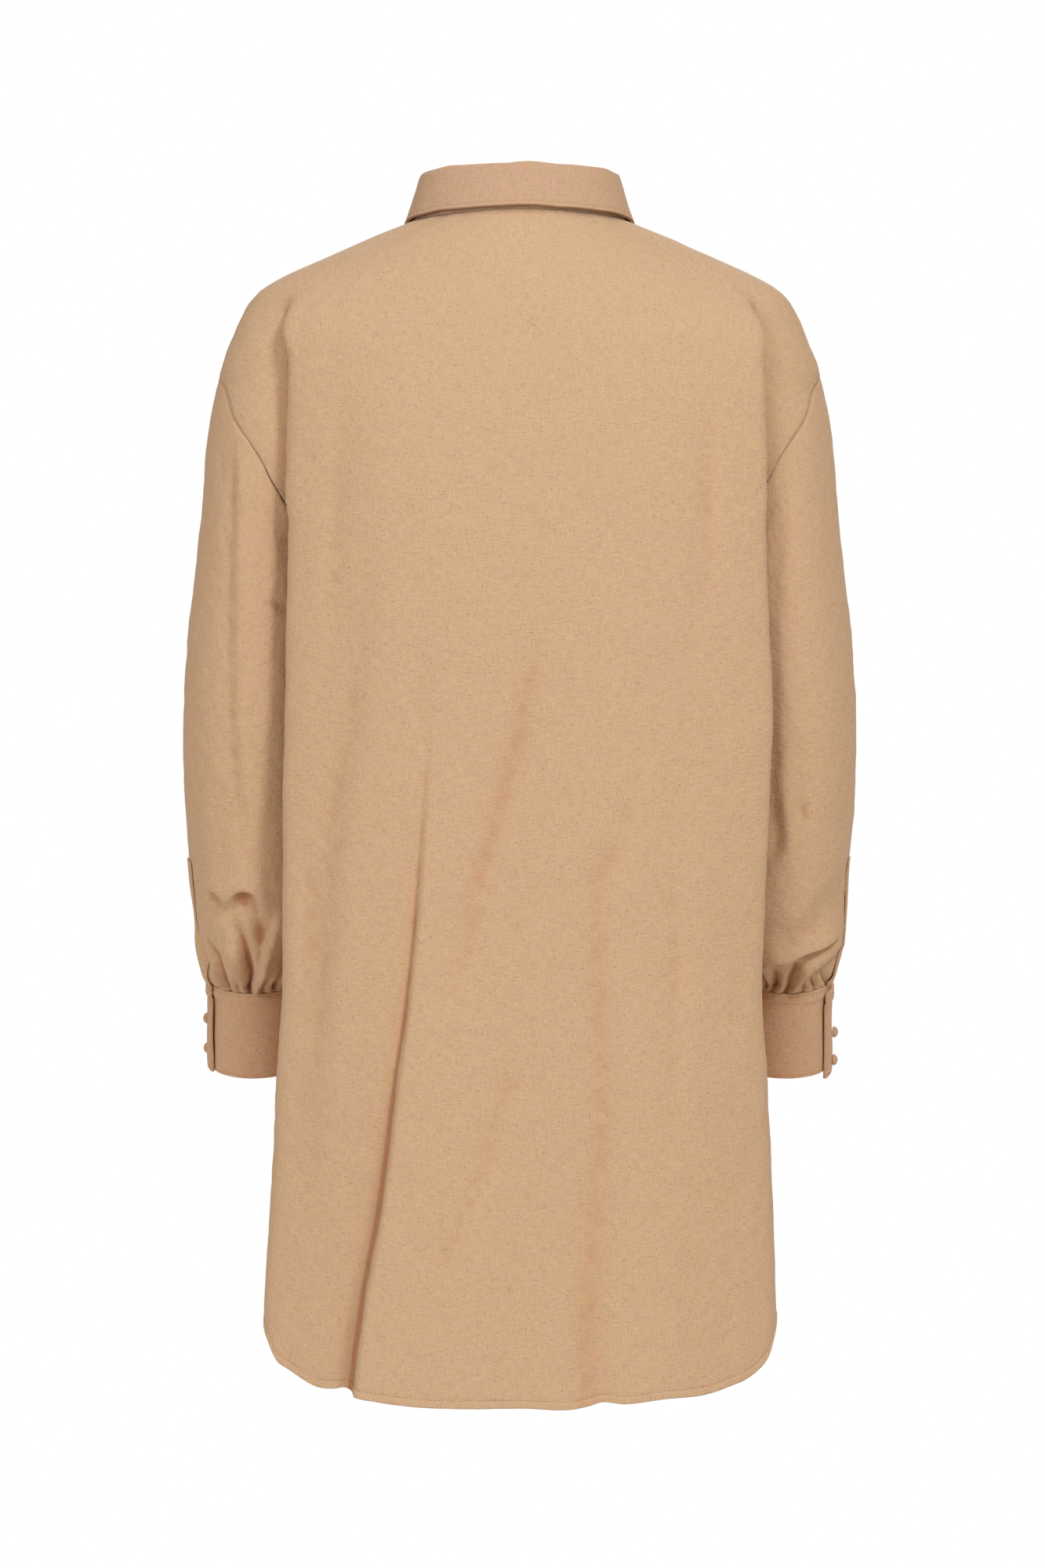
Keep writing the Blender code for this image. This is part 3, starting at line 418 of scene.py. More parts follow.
def linen(name, tan, rose, shade, crisp=1.0):
    """Plain weave of linen and viscose with thick and thin yarns. Slubs run across it, thinner
    ones down it, and the dye takes unevenly, so that the tan drifts to rose from yarn to yarn.
    A matt cloth with a faint halo of fibres at its edges. Its threads are 0.7 mm apart, and
    painted shade makes it darker and warmer in its creases, as HOLLOWS measures them."""
    made = bpy.data.materials.new(name)
    made.use_nodes = True
    tree = made.node_tree
    shader = tree.nodes["Principled BSDF"]
    cloth = add_node(tree, 'ShaderNodeUVMap', {"uv_map": "cloth"}).outputs[0]

    def yarns(wide, high, detail=2.0, rough=0.55):
        """Noise whose grains are this wide and high on the cloth, in millimetres."""
        place = add_node(tree, 'ShaderNodeMapping', (), {"Scale": (1 / (wide * MM), 1 / (high * MM), 1)},
                         {"Vector": cloth})
        return add_node(tree, 'ShaderNodeTexNoise', {"noise_dimensions": '2D'},
                        {"Scale": 1.0, "Detail": detail, "Roughness": rough},
                        {"Vector": place.outputs[0]}).outputs["Fac"]

    def spread(source, low, high, to_low=0.0, to_high=1.0):
        return add_node(tree, 'ShaderNodeMapRange', (),
                        {"From Min": low, "From Max": high, "To Min": to_low, "To Max": to_high},
                        {"Value": source}).outputs[0]

    def blend(factor, first, second, kind='MIX'):
        node = add_node(tree, 'ShaderNodeMix', {"data_type": 'RGBA', "blend_type": kind})
        for socket, value in (("Factor", factor), ("A", first), ("B", second)):
            plug = next(s for s in node.inputs if s.name == socket and s.enabled)
            if isinstance(value, bpy.types.NodeSocket):
                tree.links.new(value, plug)
            else:
                plug.default_value = value
        return next(s for s in node.outputs if s.enabled)

    def sum_of(first, second, weight):
        return add_node(tree, 'ShaderNodeMath', {"operation": 'MULTIPLY_ADD'},
                        {1: weight}, {0: first, 2: second}).outputs[0]

    slub = yarns(7, 0.7, 3.0, 0.6)
    warp = yarns(0.7, 10, 3.0, 0.6)
    drift = yarns(12, 9, 3.5, 0.7)
    patch = yarns(150, 120, 2.0)
    grain = yarns(1.1, 0.9, 2.0, 0.7)
    colour = blend(spread(drift, 0.34, 0.66), linear(tan), linear(rose))
    colour = blend(spread(patch, 0.38, 0.62, 0.0, 0.45), colour, linear(rose))
    colour = blend(spread(slub, 0.46, 0.74, 0.0, 0.42), colour, linear(shade))
    colour = blend(spread(warp, 0.48, 0.74, 0.0, 0.40), colour, linear(shade))
    colour = blend(spread(grain, 0.44, 0.78, 0.0, 0.40), colour, linear(shade))
    fleck = spread(yarns(1.9, 1.3, 0.0), 0.82, 0.86, 0.0, 0.55)
    colour = blend(fleck, colour, linear("8A5A36"))
    # Painted shade: in a broad crease the colour is tinted towards warm rose-orange, and in a sharp
    # crease it is darkened towards warm brown, by how deep the cloth lies there.
    hollow, broad_crease_shade = (add_node(tree, 'ShaderNodeAttribute', {"attribute_name": kind}).outputs["Fac"]
                      for kind in ("hollow", "broad_crease_shade"))
    colour = blend(spread(broad_crease_shade, 0.1, 1.8, 0.0, 0.22), colour, linear("D69C70"))
    colour = blend(spread(hollow, 0.1, 1.4, 0.0, 0.55), colour, linear("C08450"), 'MULTIPLY')
    tree.links.new(colour, shader.inputs["Base Color"])
    shader.inputs["Roughness"].default_value = 0.88
    shader.inputs["Sheen Weight"].default_value = 0.12
    shader.inputs["Sheen Roughness"].default_value = 0.45
    shader.inputs["Specular IOR Level"].default_value = 0.22

    weave = sum_of(slub, warp, 1.2)
    threads = add_node(tree, 'ShaderNodeBump', (), {"Strength": 0.55, "Distance": 0.35 * MM},
                       {"Height": sum_of(grain, weave, 0.7)})
    crepe = sum_of(yarns(9, 6, 4.0, 0.6), yarns(3.6, 2.6, 2.0), 1.6)
    made_rough = add_node(tree, 'ShaderNodeBump', (), {"Strength": 0.5, "Distance": 0.9 * MM * crisp},
                          {"Height": crepe, "Normal": threads.outputs[0]})
    tree.links.new(made_rough.outputs[0], shader.inputs["Normal"])
    return made


def cloth_grid(columns, rows, shape):
    """The corners of a grid laid on a shape, with their place in the flat grid: u across and
    v down, both 0 to 1."""
    bm = bmesh.new()
    bmesh.ops.create_grid(bm, x_segments=columns, y_segments=rows, size=0.5)
    u = np.array([vert.co.x + 0.5 for vert in bm.verts])
    v = np.array([0.5 - vert.co.y for vert in bm.verts])
    return bm, u, v, np.asarray(shape(u, v), float)


def flat_cloth(u, v, points, columns, rows, centre, level):
    """Where each corner lies on the flat cloth in millimetres: measured along the rows from
    the column at u = centre and along the columns from the row at v = level."""
    col = np.rint(u * columns).astype(int)
    row = np.rint(v * rows).astype(int)
    grid = np.zeros((rows + 1, columns + 1, 3))
    grid[row, col] = points
    step_u = np.linalg.norm(np.diff(grid, axis=1), axis=2)
    step_v = np.linalg.norm(np.diff(grid, axis=0), axis=2)
    far_u = np.concatenate([np.zeros((rows + 1, 1)), np.cumsum(step_u, axis=1)], axis=1)
    far_v = np.concatenate([np.zeros((1, columns + 1)), np.cumsum(step_v, axis=0)], axis=0)
    from_col, from_row = round(centre * columns), round(level * rows)
    far_u = far_u - far_u[:, from_col:from_col + 1]
    far_v = far_v - far_v[from_row:from_row + 1, :] - grid[from_row:from_row + 1, :, 2]
    return far_u[row, col], far_v[row, col]


def hollows(u, v, points, normals, columns, rows, reach):
    """How many millimetres each corner lies behind the middle of the cloth around it, which
    is taken as far as reach each way."""
    col = np.rint(u * columns).astype(int)
    row = np.rint(v * rows).astype(int)
    grid = np.zeros((rows + 1, columns + 1, 3))
    grid[row, col] = points
    mean = grid
    for axis in (0, 1):
        step = np.linalg.norm(np.diff(grid, axis=axis), axis=2).mean()
        half = int(np.clip(round(reach / step), 1, grid.shape[axis] // 3))
        pads = [(half + 1, half) if i == axis else (0, 0) for i in range(3)]
        total = np.cumsum(np.pad(mean, pads, mode="reflect", reflect_type="odd"), axis=axis)
        span = 2 * half + 1
        first = np.take(total, range(grid.shape[axis]), axis=axis)
        mean = (np.take(total, range(span, span + grid.shape[axis]), axis=axis) - first) / span
    return ((mean - grid)[row, col] * normals).sum(1)


# Painted shade of the creases: the two corner attributes that darken the cloth's colour, and how far
# round each corner they measure, in millimetres.
HOLLOWS = {"hollow": 6.0, "broad_crease_shade": 22.0}   # sharp and broad creases, by how far each reaches
outer_face = {}          # what each cloth piece's stitches lie on


def finished(name, bm, finish):
    """Turns worked corners and faces into a smooth object of one material."""
    mesh = bpy.data.meshes.new(name)
    bm.to_mesh(mesh)
    bm.free()
    mesh.shade_smooth()
    mesh.materials.append(finish)
    made = bpy.data.objects.new(name, mesh)
    bpy.context.scene.collection.objects.link(made)
    return made


def lay_cloth(name, columns, rows, shape, wall, finish, node, centre=0.5, level=0.0,
              flip=False, tube=False, ripple=None, ripple_share=1.0, edge=None, round_edge=0.0):
    """A cloth piece: a fine grid laid on its shape, rippled, and thickened inwards."""
    bm, u, v, points = cloth_grid(columns, rows, shape)
    across, down = flat_cloth(u, v, points, columns, rows, centre, level)
    for vert, point in zip(bm.verts, points):
        vert.co = Vector(point) * MM
    uv = bm.loops.layers.uv.new("cloth")
    for face in bm.faces:
        for loop in face.loops:
            i = loop.vert.index
            loop[uv].uv = (across[i] * MM, -down[i] * MM)
    bm.normal_update()
    lift = np.zeros(len(u))
    if ripple is not None:
        lift = lift + crinkle(across, down, ripple) * ripple_share
    if edge is not None:
        lift = lift + edge(u, v)
    if tube:
        lift = lift * ease(0, 0.03, np.minimum(u, 1 - u))
    sign = -1 if flip else 1
    for vert, high in zip(list(bm.verts), lift):
        vert.co = vert.co + vert.normal * (sign * high * MM)
    bm.normal_update()
    made = np.array([vert.co for vert in bm.verts]) / MM
    normals = np.array([vert.normal for vert in bm.verts]) * sign
    # Store how deep each corner lies in a sharp and a broad crease, so that the cloth's material paints
    # shade there.
    for kind, reach in HOLLOWS.items():
        layer = bm.verts.layers.float.new(kind)
        for vert, far in zip(bm.verts, hollows(u, v, made, normals, columns, rows, reach)):
            vert[layer] = far
    if tube:
        bmesh.ops.remove_doubles(bm, verts=bm.verts, dist=0.00002)
    if flip:
        bmesh.ops.reverse_faces(bm, faces=bm.faces)
    bm.normal_update()
    outer_face[name] = BVHTree.FromBMesh(bm)
    piece = finished(name, bm, finish)
    thicken = piece.modifiers.new("cloth wall", 'SOLIDIFY')
    thicken.thickness = wall * MM
    thicken.offset = -1
    if round_edge:
        soften = piece.modifiers.new("folded edge", 'BEVEL')
        soften.width = round_edge * MM
        soften.segments = 3
        soften.limit_method = 'ANGLE'
        soften.angle_limit = math.radians(50)
    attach(piece, "root")
    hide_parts(node)
    return piece


def sew(name, on, path, finish, pitch=3.0, long=2.1, thick=0.45):
    """A row of thread stitches along a path on a cloth piece's outer face."""
    path = np.asarray(path, float) * MM
    far = np.concatenate([[0], np.cumsum(np.linalg.norm(np.diff(path, axis=0), axis=1))])
    bm = bmesh.new()
    for start in np.arange(0.5, far[-1] / MM - pitch, pitch):
        ends = []
        for at in (start, start + long):
            spot = Vector([float(np.interp(at * MM, far, path[:, k])) for k in range(3)])
            ends.append(outer_face[on].find_nearest(spot))
        run, normal = (ends[1][0] - ends[0][0]).normalized(), ends[0][1]
        across = normal.cross(run).normalized()
        turned = Matrix((run * long / 2, across * thick / 2, run.cross(across) * thick / 2)).transposed()
        middle = (ends[0][0] + ends[1][0]) / 2 + normal * 0.05 * MM
        made = bmesh.ops.create_icosphere(bm, subdivisions=1, radius=MM)
        bmesh.ops.transform(bm, matrix=Matrix.Translation(middle) @ turned.to_4x4(), verts=made["verts"])
    row = finished(name, bm, finish)
    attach(row, "root")
    return row


def sewing_thread(name, light, dark):
    """Spun polyester thread dyed to match. Its colour drifts at random between a lighter and a darker
    tone, a painted highlight and shade that stand in for its fine twist.
    """
    made = bpy.data.materials.new(name)
    made.use_nodes = True
    tree = made.node_tree
    place = add_node(tree, 'ShaderNodeTexCoord').outputs["Object"]
    # Painted highlight and shade of the twist, as noise between the two tones.
    twist = add_node(tree, 'ShaderNodeTexNoise', (), {"Scale": 1 / (0.6 * MM), "Detail": 1.0},
                     {"Vector": place})
    tone = add_node(tree, 'ShaderNodeMix', {"data_type": 'RGBA'}, {6: linear(light), 7: linear(dark)},
                    {0: twist.outputs["Fac"]})
    tree.links.new(tone.outputs[2], tree.nodes["Principled BSDF"].inputs["Base Color"])
    tree.nodes["Principled BSDF"].inputs["Roughness"].default_value = 0.7
    return made


thread = sewing_thread("spun polyester thread", "CDA57A", "A67A50")

body_cloth = linen("slubbed linen and viscose plain weave", "DAB78B", "DBB391", "B98F68")

BACK_COLUMNS = 84        # from the centre to the edge, on each side
SIDE_COLUMNS = 26        # from the edge to the seam
BACK_ROWS = 196
CROWD = 0.62             # how much the columns crowd along the sharp fold
CROWD_WIDE = 0.13        # and how far to each side, as a share of the panel
back_half = BACK_COLUMNS + SIDE_COLUMNS


def back_share(u, level):
    """Signed place across the back's grid, and the same as a share: 1 edge, 2 seam. On the
    left the columns crowd along the sharp fold."""
    across = (2 * u - 1) * back_half
    far = np.abs(across)
    even = far / BACK_COLUMNS
    fold = np.interp(level, (1, 2, 2.2, 3), (0.42, 0.42, 0.44, 0.67))
    crowd = CROWD * CROWD_WIDE * np.where(across < 0, ease(1.2, 2.0, level), 0)
    start, end, here = (at - crowd * np.tanh((at - fold) / CROWD_WIDE)
                        for at in (0 * even, 0 * even + 1, even))
    share = np.where(far <= BACK_COLUMNS, (here - start) / (end - start),
                     1 + (far - BACK_COLUMNS) / SIDE_COLUMNS)
    return across, share


def back_shape(u, v):
    level = panel_rows(v)
    across, share = back_share(u, level)
    points = np.zeros((len(u), 3))
    for side in (-1, 1):
        here = across < 0 if side < 0 else across >= 0
        down, place = panel_level(-1, side, level[here], share[here])
        points[here] = body_place(side, -1, place, down)
    on_seam = (share > 1.999) & ((level < 1) | (level > 2))
    points[:, 1] -= np.where(on_seam, SEAM_HALF_GAP, 0)
    return points


def back_edge(u, v):
    """The hem's relief on a panel's grid, by the millimetres left to its edge."""
    level = panel_rows(v)
    return hem_relief(np.where(level > 2, (3 - level) * SKIRT_LONG, 99))


back = lay_cloth("back_cloth", back_half * 2, BACK_ROWS, back_shape, CLOTH, body_cloth,
                 "back", centre=0.5, level=SHOULDER_ROWS, ripple=11, edge=back_edge)
hem_u = np.linspace(0.002, 0.998, 400)
hem_stitches = sew("back_hem_stitches", "back_cloth", back_shape(hem_u, 0 * hem_u + 0.9995)
                   + np.array((0, 0, HEM_WIDE)), thread)

# Fronts
# Two panels joined to the back at the shoulders and sides. The right one laps the left, and
# each centre edge is turned back 30 mm and stitched down as the button stand.
FRONT_LAP = 13.0
FRONT_COLUMNS = 66
LAP_GAP = 0.4
SEAM_TUCK = 2.0          # the fronts reach this far behind the back's edge at their seams
TUCK_IN = 1.9 * CLOTH    # and lie this much further in there
BUTTON_STAND = 30.0      # the stand's stitching lies this far from the edge
FRONT_ROUND = 190.0      # a front's width where that is measured
CHEST = 300.0
SIDES = ((-1, "left"), (1, "right"))   # of the photograph


def front_shape_on(side):
    lift = side * (CLOTH + LAP_GAP) / 2

    def shape(u, v):
        far = u * (FRONT_COLUMNS + SIDE_COLUMNS)
        centre = -FRONT_LAP / along(BODY, "front_edge", CHEST)
        inner = centre + (1 - centre) * far / FRONT_COLUMNS
        share = np.where(far <= FRONT_COLUMNS, inner, 1 + (far - FRONT_COLUMNS) / SIDE_COLUMNS)
        level = panel_rows(v)
        down, place = panel_level(1, side, level, share)
        points = body_place(side, 1, place, down, lift * (1 - ease(0.1, 0.5, place)))
        on_seam = (share > 1.999) & ((level < 1) | (level > 2))
        points[:, 0] -= np.where(on_seam & (level > 2), side * TUCK_IN, 0)
        points[:, 1] -= np.where(on_seam, SEAM_TUCK, 0)
        points[:, 2] -= np.where(on_seam & (level < 1), TUCK_IN, 0)
        return points

    return shape


for side, word in SIDES:
    cloth, shape = "front_%s_cloth" % word, front_shape_on(side)
    front = lay_cloth(cloth, FRONT_COLUMNS + SIDE_COLUMNS, BACK_ROWS, shape, CLOTH, body_cloth,
                      "front_" + word, centre=0.0, level=SHOULDER_ROWS, flip=side > 0,
                      ripple=21 + side, edge=back_edge)
    front_hem = shape(hem_u, 0 * hem_u + 0.9995) + np.array((0, 0, HEM_WIDE))
    stand_line = shape(0 * hem_u + BUTTON_STAND / FRONT_ROUND, hem_u * 0.985)
    rows = [sew("front_%s_hem_stitches" % word, cloth, front_hem, thread),
            sew("front_%s_stand_stitches" % word, cloth, stand_line, thread)]

# Collar
# A band of two layers stands on the neck seam, and a turned-down leaf of two layers folds over
# it. Both are cut double with interlining between, and the leaf is edge-stitched.
NECK_WIDE = 82.0
NECK_BACK = 62.0
NECK_FRONT = 58.0
BAND = 2.4               # two layers with interlining
PIECE_GAP = 0.4
STAND_LEAN = 9.0         # the band's top edge leans in this far
STAND_BACK = 32.5
STAND_FRONT = 27.0
LEAF_HALF = 164.0        # the leaf ends this far round from the centre back, in degrees
EDGE_STITCH = 2.3
STAND_TURN = 1.045       # the band's length in full turns, so that its ends lap
STAND_TUCK = 1.9         # its lower edge lies this much further in than the neck edge
STAND_TUCK_DOWN = 2.0    # and reaches this far below it
LEAF_ROUND = 2 * math.radians(LEAF_HALF) * 75   # along the leaf's edge
LEAF_RELIEF_DEEP = 38    # from its fold to its edge behind, as its relief counts it
LEAF_SEWN_DEEP = 40      # and as its stitching does

# The same cloth as the body, with its colours set a little darker. This is painted shade for the upright
# collar, which the light from above reaches less.
collar_cloth = linen("slubbed linen and viscose, doubled and interlined",
                     "D3AE86", "D4AA90", "B48C65", 0.8)


def collar_round(turn, grow=0.0):
    """The neck seam's oval, from the centre back at 0 to the centre front at half a turn."""
    depth = np.where(np.cos(turn) > 0, NECK_BACK, NECK_FRONT) + grow
    lift = np.where(np.cos(turn) > 0, BACK_RISE, -FRONT_DROP) * np.cos(turn) ** 2
    return (NECK_WIDE + grow) * np.sin(turn), -depth * np.cos(turn), -NECK_SIDE_DOWN + lift


def stand_shape(u, v):
    turn = 2 * math.pi * (u - 0.5) * STAND_TURN
    front = ease(math.radians(60), math.radians(170), np.abs(turn))
    high = STAND_BACK + (STAND_FRONT - STAND_BACK) * front
    lapped = np.sign(turn) * ease(math.radians(150), math.radians(171), np.abs(turn))
    tucked = 1 - ease(0, 0.14, v)
    grow = lapped * (BAND + PIECE_GAP) / 2 - STAND_LEAN * v - STAND_TUCK * tucked
    x, y, seam = collar_round(turn, grow)
    rise = high * v - STAND_TUCK_DOWN * tucked
    return np.stack([x, y, seam + PIECE_GAP * (1 + 3 * front) + rise], -1)


# Round the neck in degrees from the centre back: the leaf's drop, and how far its edge stands
# out from the fold
LEAF_SIZE = table("round deep out", (
    (0, 32, 12.8), (60, 33, 12.8), (90, 33.5, 13.6), (110, 35.5, 21), (130, 45, 27.5),
    (150, 63, 33), (168, 65, 34)))
# The leaf's section from its fold: step, share of the standing out, share of the drop
LEAF_ROLL = table("step off drop", (
    (0, 0, 0), (1, 0.16, 0.0), (2, 0.31, 0.1), (3, 0.48, 0.34), (4, 0.73, 0.68), (5, 1, 1)))


def leaf_shape(u, v):
    turn = math.radians(LEAF_HALF) * (2 * u - 1)
    far = np.abs(turn)
    front = ease(math.radians(60), math.radians(170), far)
    high = STAND_BACK + (STAND_FRONT - STAND_BACK) * front
    off = along(LEAF_ROLL, "off", v * 5) * along(LEAF_SIZE, "out", np.degrees(far))
    drop = along(LEAF_ROLL, "drop", v * 5) * along(LEAF_SIZE, "deep", np.degrees(far))
    x, y, z = collar_round(turn, off - STAND_LEAN + PIECE_GAP)
    fold = collar_round(turn)[2] + high + PIECE_GAP * (2 + 3 * front) + BAND
    crown = 0.9 * np.sin(np.clip(v * 5, 0, 2) * math.pi / 2)
    wave = 0.5 * np.sin(7.3 * turn + 1.1) + 0.3 * np.sin(13.7 * turn)
    return np.stack([x, y, fold + crown - drop + wave * (1 - 0.5 * v)], -1)


def leaf_relief(u, v):
    """Edge stitching draws the layers together, and the folded edge beyond it is plump."""
    away = np.minimum((1 - v) * LEAF_RELIEF_DEEP, np.minimum(u, 1 - u) * LEAF_ROUND)
    groove = -0.35 * np.exp(-((away - EDGE_STITCH) / 0.8) ** 2)
    return groove + 0.12 * np.exp(-((away - 1.0) / 0.8) ** 2) + 0.25 * np.sin(9 * u + 3 * v) * v


stand = lay_cloth("collar_stand_cloth", 150, 14, stand_shape, BAND, collar_cloth,
                  "collar_stand", level=0.0, flip=True, ripple=31, ripple_share=0.35, round_edge=0.7)
leaf = lay_cloth("collar_leaf_cloth", 190, 26, leaf_shape, BAND, collar_cloth,
                 "collar_leaf", level=1.0, ripple=32, ripple_share=0.5, edge=leaf_relief,
                 round_edge=0.8)
end_share = EDGE_STITCH / LEAF_ROUND
low_share = 1 - EDGE_STITCH / LEAF_SEWN_DEEP
leaf_edge = ([(end_share, v) for v in np.linspace(0.3, low_share, 12)]
             + [(u, low_share) for u in np.linspace(end_share, 1 - end_share, 160)]
             + [(1 - end_share, v) for v in np.linspace(low_share, 0.3, 12)])
leaf_stitches = sew("collar_leaf_stitches", "collar_leaf_cloth", leaf_shape(*np.array(leaf_edge).T),
                    thread, pitch=2.6)

# Sleeves
# Two full sleeves of the same cloth, set in flat at the dropped shoulder and gathered into the
# cuffs. A soft fold runs down each, and its fullness sags over the gathers in billows.
SLEEVE_COLUMNS = 176
SLEEVE_ROWS = 196
SLEEVE_CLEAR = 2.0       # stays this far from the body beside the underarm
SLEEVE_TUCK = 2.2        # its edge reaches this far behind the body's at the armhole
CUFF_LEAN = math.radians(14)
BILLOW_EDGE = 3.6        # half width of the steep side of a billow
BILLOW_BIG = 1.9         # how much the tables' heights are stretched, for the billows
GATHER_BIG = 2.2         # and for the gathers above the cuff
LONG_EDGE = 5.0          # half width of the slope of a long soft fold
SEAM_FIT = 70.0          # the sleeve eases from the armhole seam to its oval over this far
TURN_FIT = 160.0         # and its columns spread evenly round the arm over this far

# Creases of the sleeves: turn in degrees from the outer side, which is about as many
# millimetres, distance down, width and height. A step lifts the side of greater turn.
LONG_STEPS = {
    -1: (((44, 140, 12, 0), (54, 172, 13, 1.8), (62, 206, 14, 2.7), (70, 281, 14, 3.0),
          (77, 377, 15, 3.2), (80, 417, 15, 3.2), (83, 450, 15, 2.6), (84, 490, 14, 0)),),
    1: (((94, 290, 12, 0), (97, 360, 13, -1.8), (98, 410, 14, -3.2), (96, 448, 14, -4.2),
         (92, 468, 13, -4.8), (92, 482, 13, -4.6), (100, 492, 12, -3.2), (110, 500, 10, 0)),)}
BILLOWS = {
    -1: (((40, 522, 8, 0), (44, 515, 9, 1.0), (50, 513, 10, 1.5), (56, 516, 10, 1.4), (61, 525, 9, 0)),
         ((64, 526, 10, 0), (69, 516, 12, 1.8), (76, 511, 13, 2.6), (84, 511, 13, 2.6),
          (90, 517, 12, 1.8), (95, 530, 10, 0)),
         ((106, 520, 9, 0), (103, 534, 9, 2.0), (97, 549, 8, 3.2), (94, 566, 7, 3.6),
          (93, 584, 6, 3.2), (93, 600, 5, 1.4))),
    1: (((20, 546, 9, 0), (34, 549, 9, 2.2), (50, 552, 9, 3.2), (66, 554, 9, 3.4),
         (76, 557, 8, 3.6), (84, 561, 8, 3.4), (97, 562, 8, 3.4), (110, 568, 8, 2.8),
         (124, 574, 9, 0)),
        ((14, 560, 5, 0), (30, 563, 5, 3.0), (44, 566, 5, 4.2), (57, 571, 5, 4.4),
         (66, 577, 5, 3.8), (78, 586, 5, 2.4), (86, 596, 5, 0)))}
SLEEVE_SOFT = {
    -1: (((96, 300, 5, 0), (104, 303, 5, -1.6), (114, 309, 5, -1.6), (122, 314, 5, 0)),
         ((60, 430, 10, 0), (62, 470, 10, -1.2), (64, 505, 10, -1.0), (66, 530, 9, 0)),
         ((30, 440, 8, 0), (33, 480, 8, -1.0), (36, 510, 8, 0)),
         ((68, 528, 11, 0), (79, 522, 12, -1.8), (90, 530, 11, 0)),
         ((42, 528, 9, 0), (51, 525, 10, -1.2), (60, 532, 9, 0)),
         ((56, 514, 7, 0), (62, 525, 7, -2.0), (68, 531, 7, -2.2), (74, 541, 6, -2.6),
          (78, 550, 5, -3.2), (81, 560, 4, -4.4), (84, 572, 3.4, -5.0), (86, 585, 3.2, -5.0),
          (87, 600, 3, -2)),
         ((88, 515, 7, 0), (90, 530, 7, -2.8), (93, 541, 6.5, -2.8), (96, 550, 5, 0)),
         ((60, 548, 8, 0), (66, 556, 8, 1.6), (70, 568, 8, 1.4), (72, 582, 7, 0)),
         ((30, 546, 6, 0), (40, 555, 5.5, -2.2), (48, 561, 5, -3.0), (52, 570, 4.5, -3.4),
          (56, 580, 4, -3.4), (60, 592, 4, -2.8), (62, 600, 4, -1)),
         ((38, 568, 5, 0), (44, 576, 5, 1.6), (49, 588, 5, 1.2), (52, 600, 4, 0)),
         ((70, 578, 3, 0), (73, 588, 3, -1.6), (75, 600, 3, -1.0)),
         ((101, 570, 4, 0), (104, 582, 4, -2.8), (105, 600, 4, -1.4)),
         ((8, 515, 6, 0), (14, 545, 6, -2.0), (25, 565, 5.5, -3.4), (36, 580, 5, -3.6),
          (40, 600, 4, -1.4))),
    1: (((86, 222, 8, 0), (90, 255, 8, -1.8), (93, 288, 8, -1.4), (95, 320, 8, 0)),
        ((84, 395, 10, 0), (80, 430, 10, -1.4), (76, 458, 10, -1.6), (77, 505, 10, 0)),
        ((77, 448, 4, 0), (76, 457, 4, -1.1), (74, 467, 4, 0)),
        ((6, 480, 12, 0), (18, 504, 12, -1.8), (32, 517, 12, -3.0), (50, 524, 12, -3.6),
         (62, 534, 12, -3.4), (80, 543, 11, -2.4), (98, 550, 10, 0)),
        ((8, 468, 5, 0), (4, 505, 5, -1.8), (6, 560, 5, -2.6), (12, 590, 5, -2.0),
         (14, 600, 4, -0.8)),
        ((20, 554, 6, 0), (36, 557, 6, 1.2), (52, 561, 6, 1.8), (66, 568, 6, 1.8),
         (78, 577, 5.5, 1.4), (92, 590, 5, 0)),
        ((76, 561, 4.5, 0), (77, 569, 4.5, -3.4), (82, 576, 4.4, -4.4), (89, 585, 4.2, -4.6),
         (94, 592, 4, -3.6), (96, 600, 4, -1)),
        ((97, 567, 4.5, 0), (99, 573, 4.5, -3.2), (105, 581, 4.4, -4.2), (112, 589, 4, -3.6),
         (114, 600, 4, -1)),
        ((58, 576, 3, 0), (54, 583, 3, -2.0), (49, 591, 3, -1.8), (48, 600, 3, -0.8)),
        ((46, 571, 3, 0), (36, 581, 3, -2.0), (24, 591, 3, -1.6), (20, 600, 3, -0.6)),
        ((66, 581, 3, 0), (68, 590, 3, -1.8), (69, 600, 3, -1)),
        ((40, 578, 3, 0), (38, 588, 3, -1.5), (38, 600, 3, -0.6)))}
# Folds of the hidden sides, the same on both sleeves, and the gathers there
HIDDEN_SOFT = (
    ((-54, 180, 14, 0), (-58, 260, 15, -2.0), (-62, 380, 15, -2.4), (-66, 480, 14, 0)),
    ((-104, 240, 14, 0), (-112, 330, 15, -1.8), (-120, 430, 15, -2.0), (-122, 510, 14, 0)),
    ((-84, 300, 14, 0), (-88, 400, 15, 1.4), (-92, 500, 15, 0)),
    ((-28, 430, 10, 0), (-32, 500, 10, -1.6), (-30, 545, 9, 0)),
    ((-140, 440, 10, 0), (-146, 510, 10, -1.6), (-150, 550, 9, 0)))
HIDDEN_BILLOWS = (
    ((-86, 536, 9, 0), (-76, 526, 11, 1.0), (-62, 522, 12, 1.6), (-48, 527, 11, 1.0), (-38, 540, 9, 0)),
    ((-136, 548, 9, 0), (-126, 540, 10, 0.9), (-114, 537, 10, 1.3), (-102, 545, 10, 0.8),
     (-94, 556, 9, 0)))
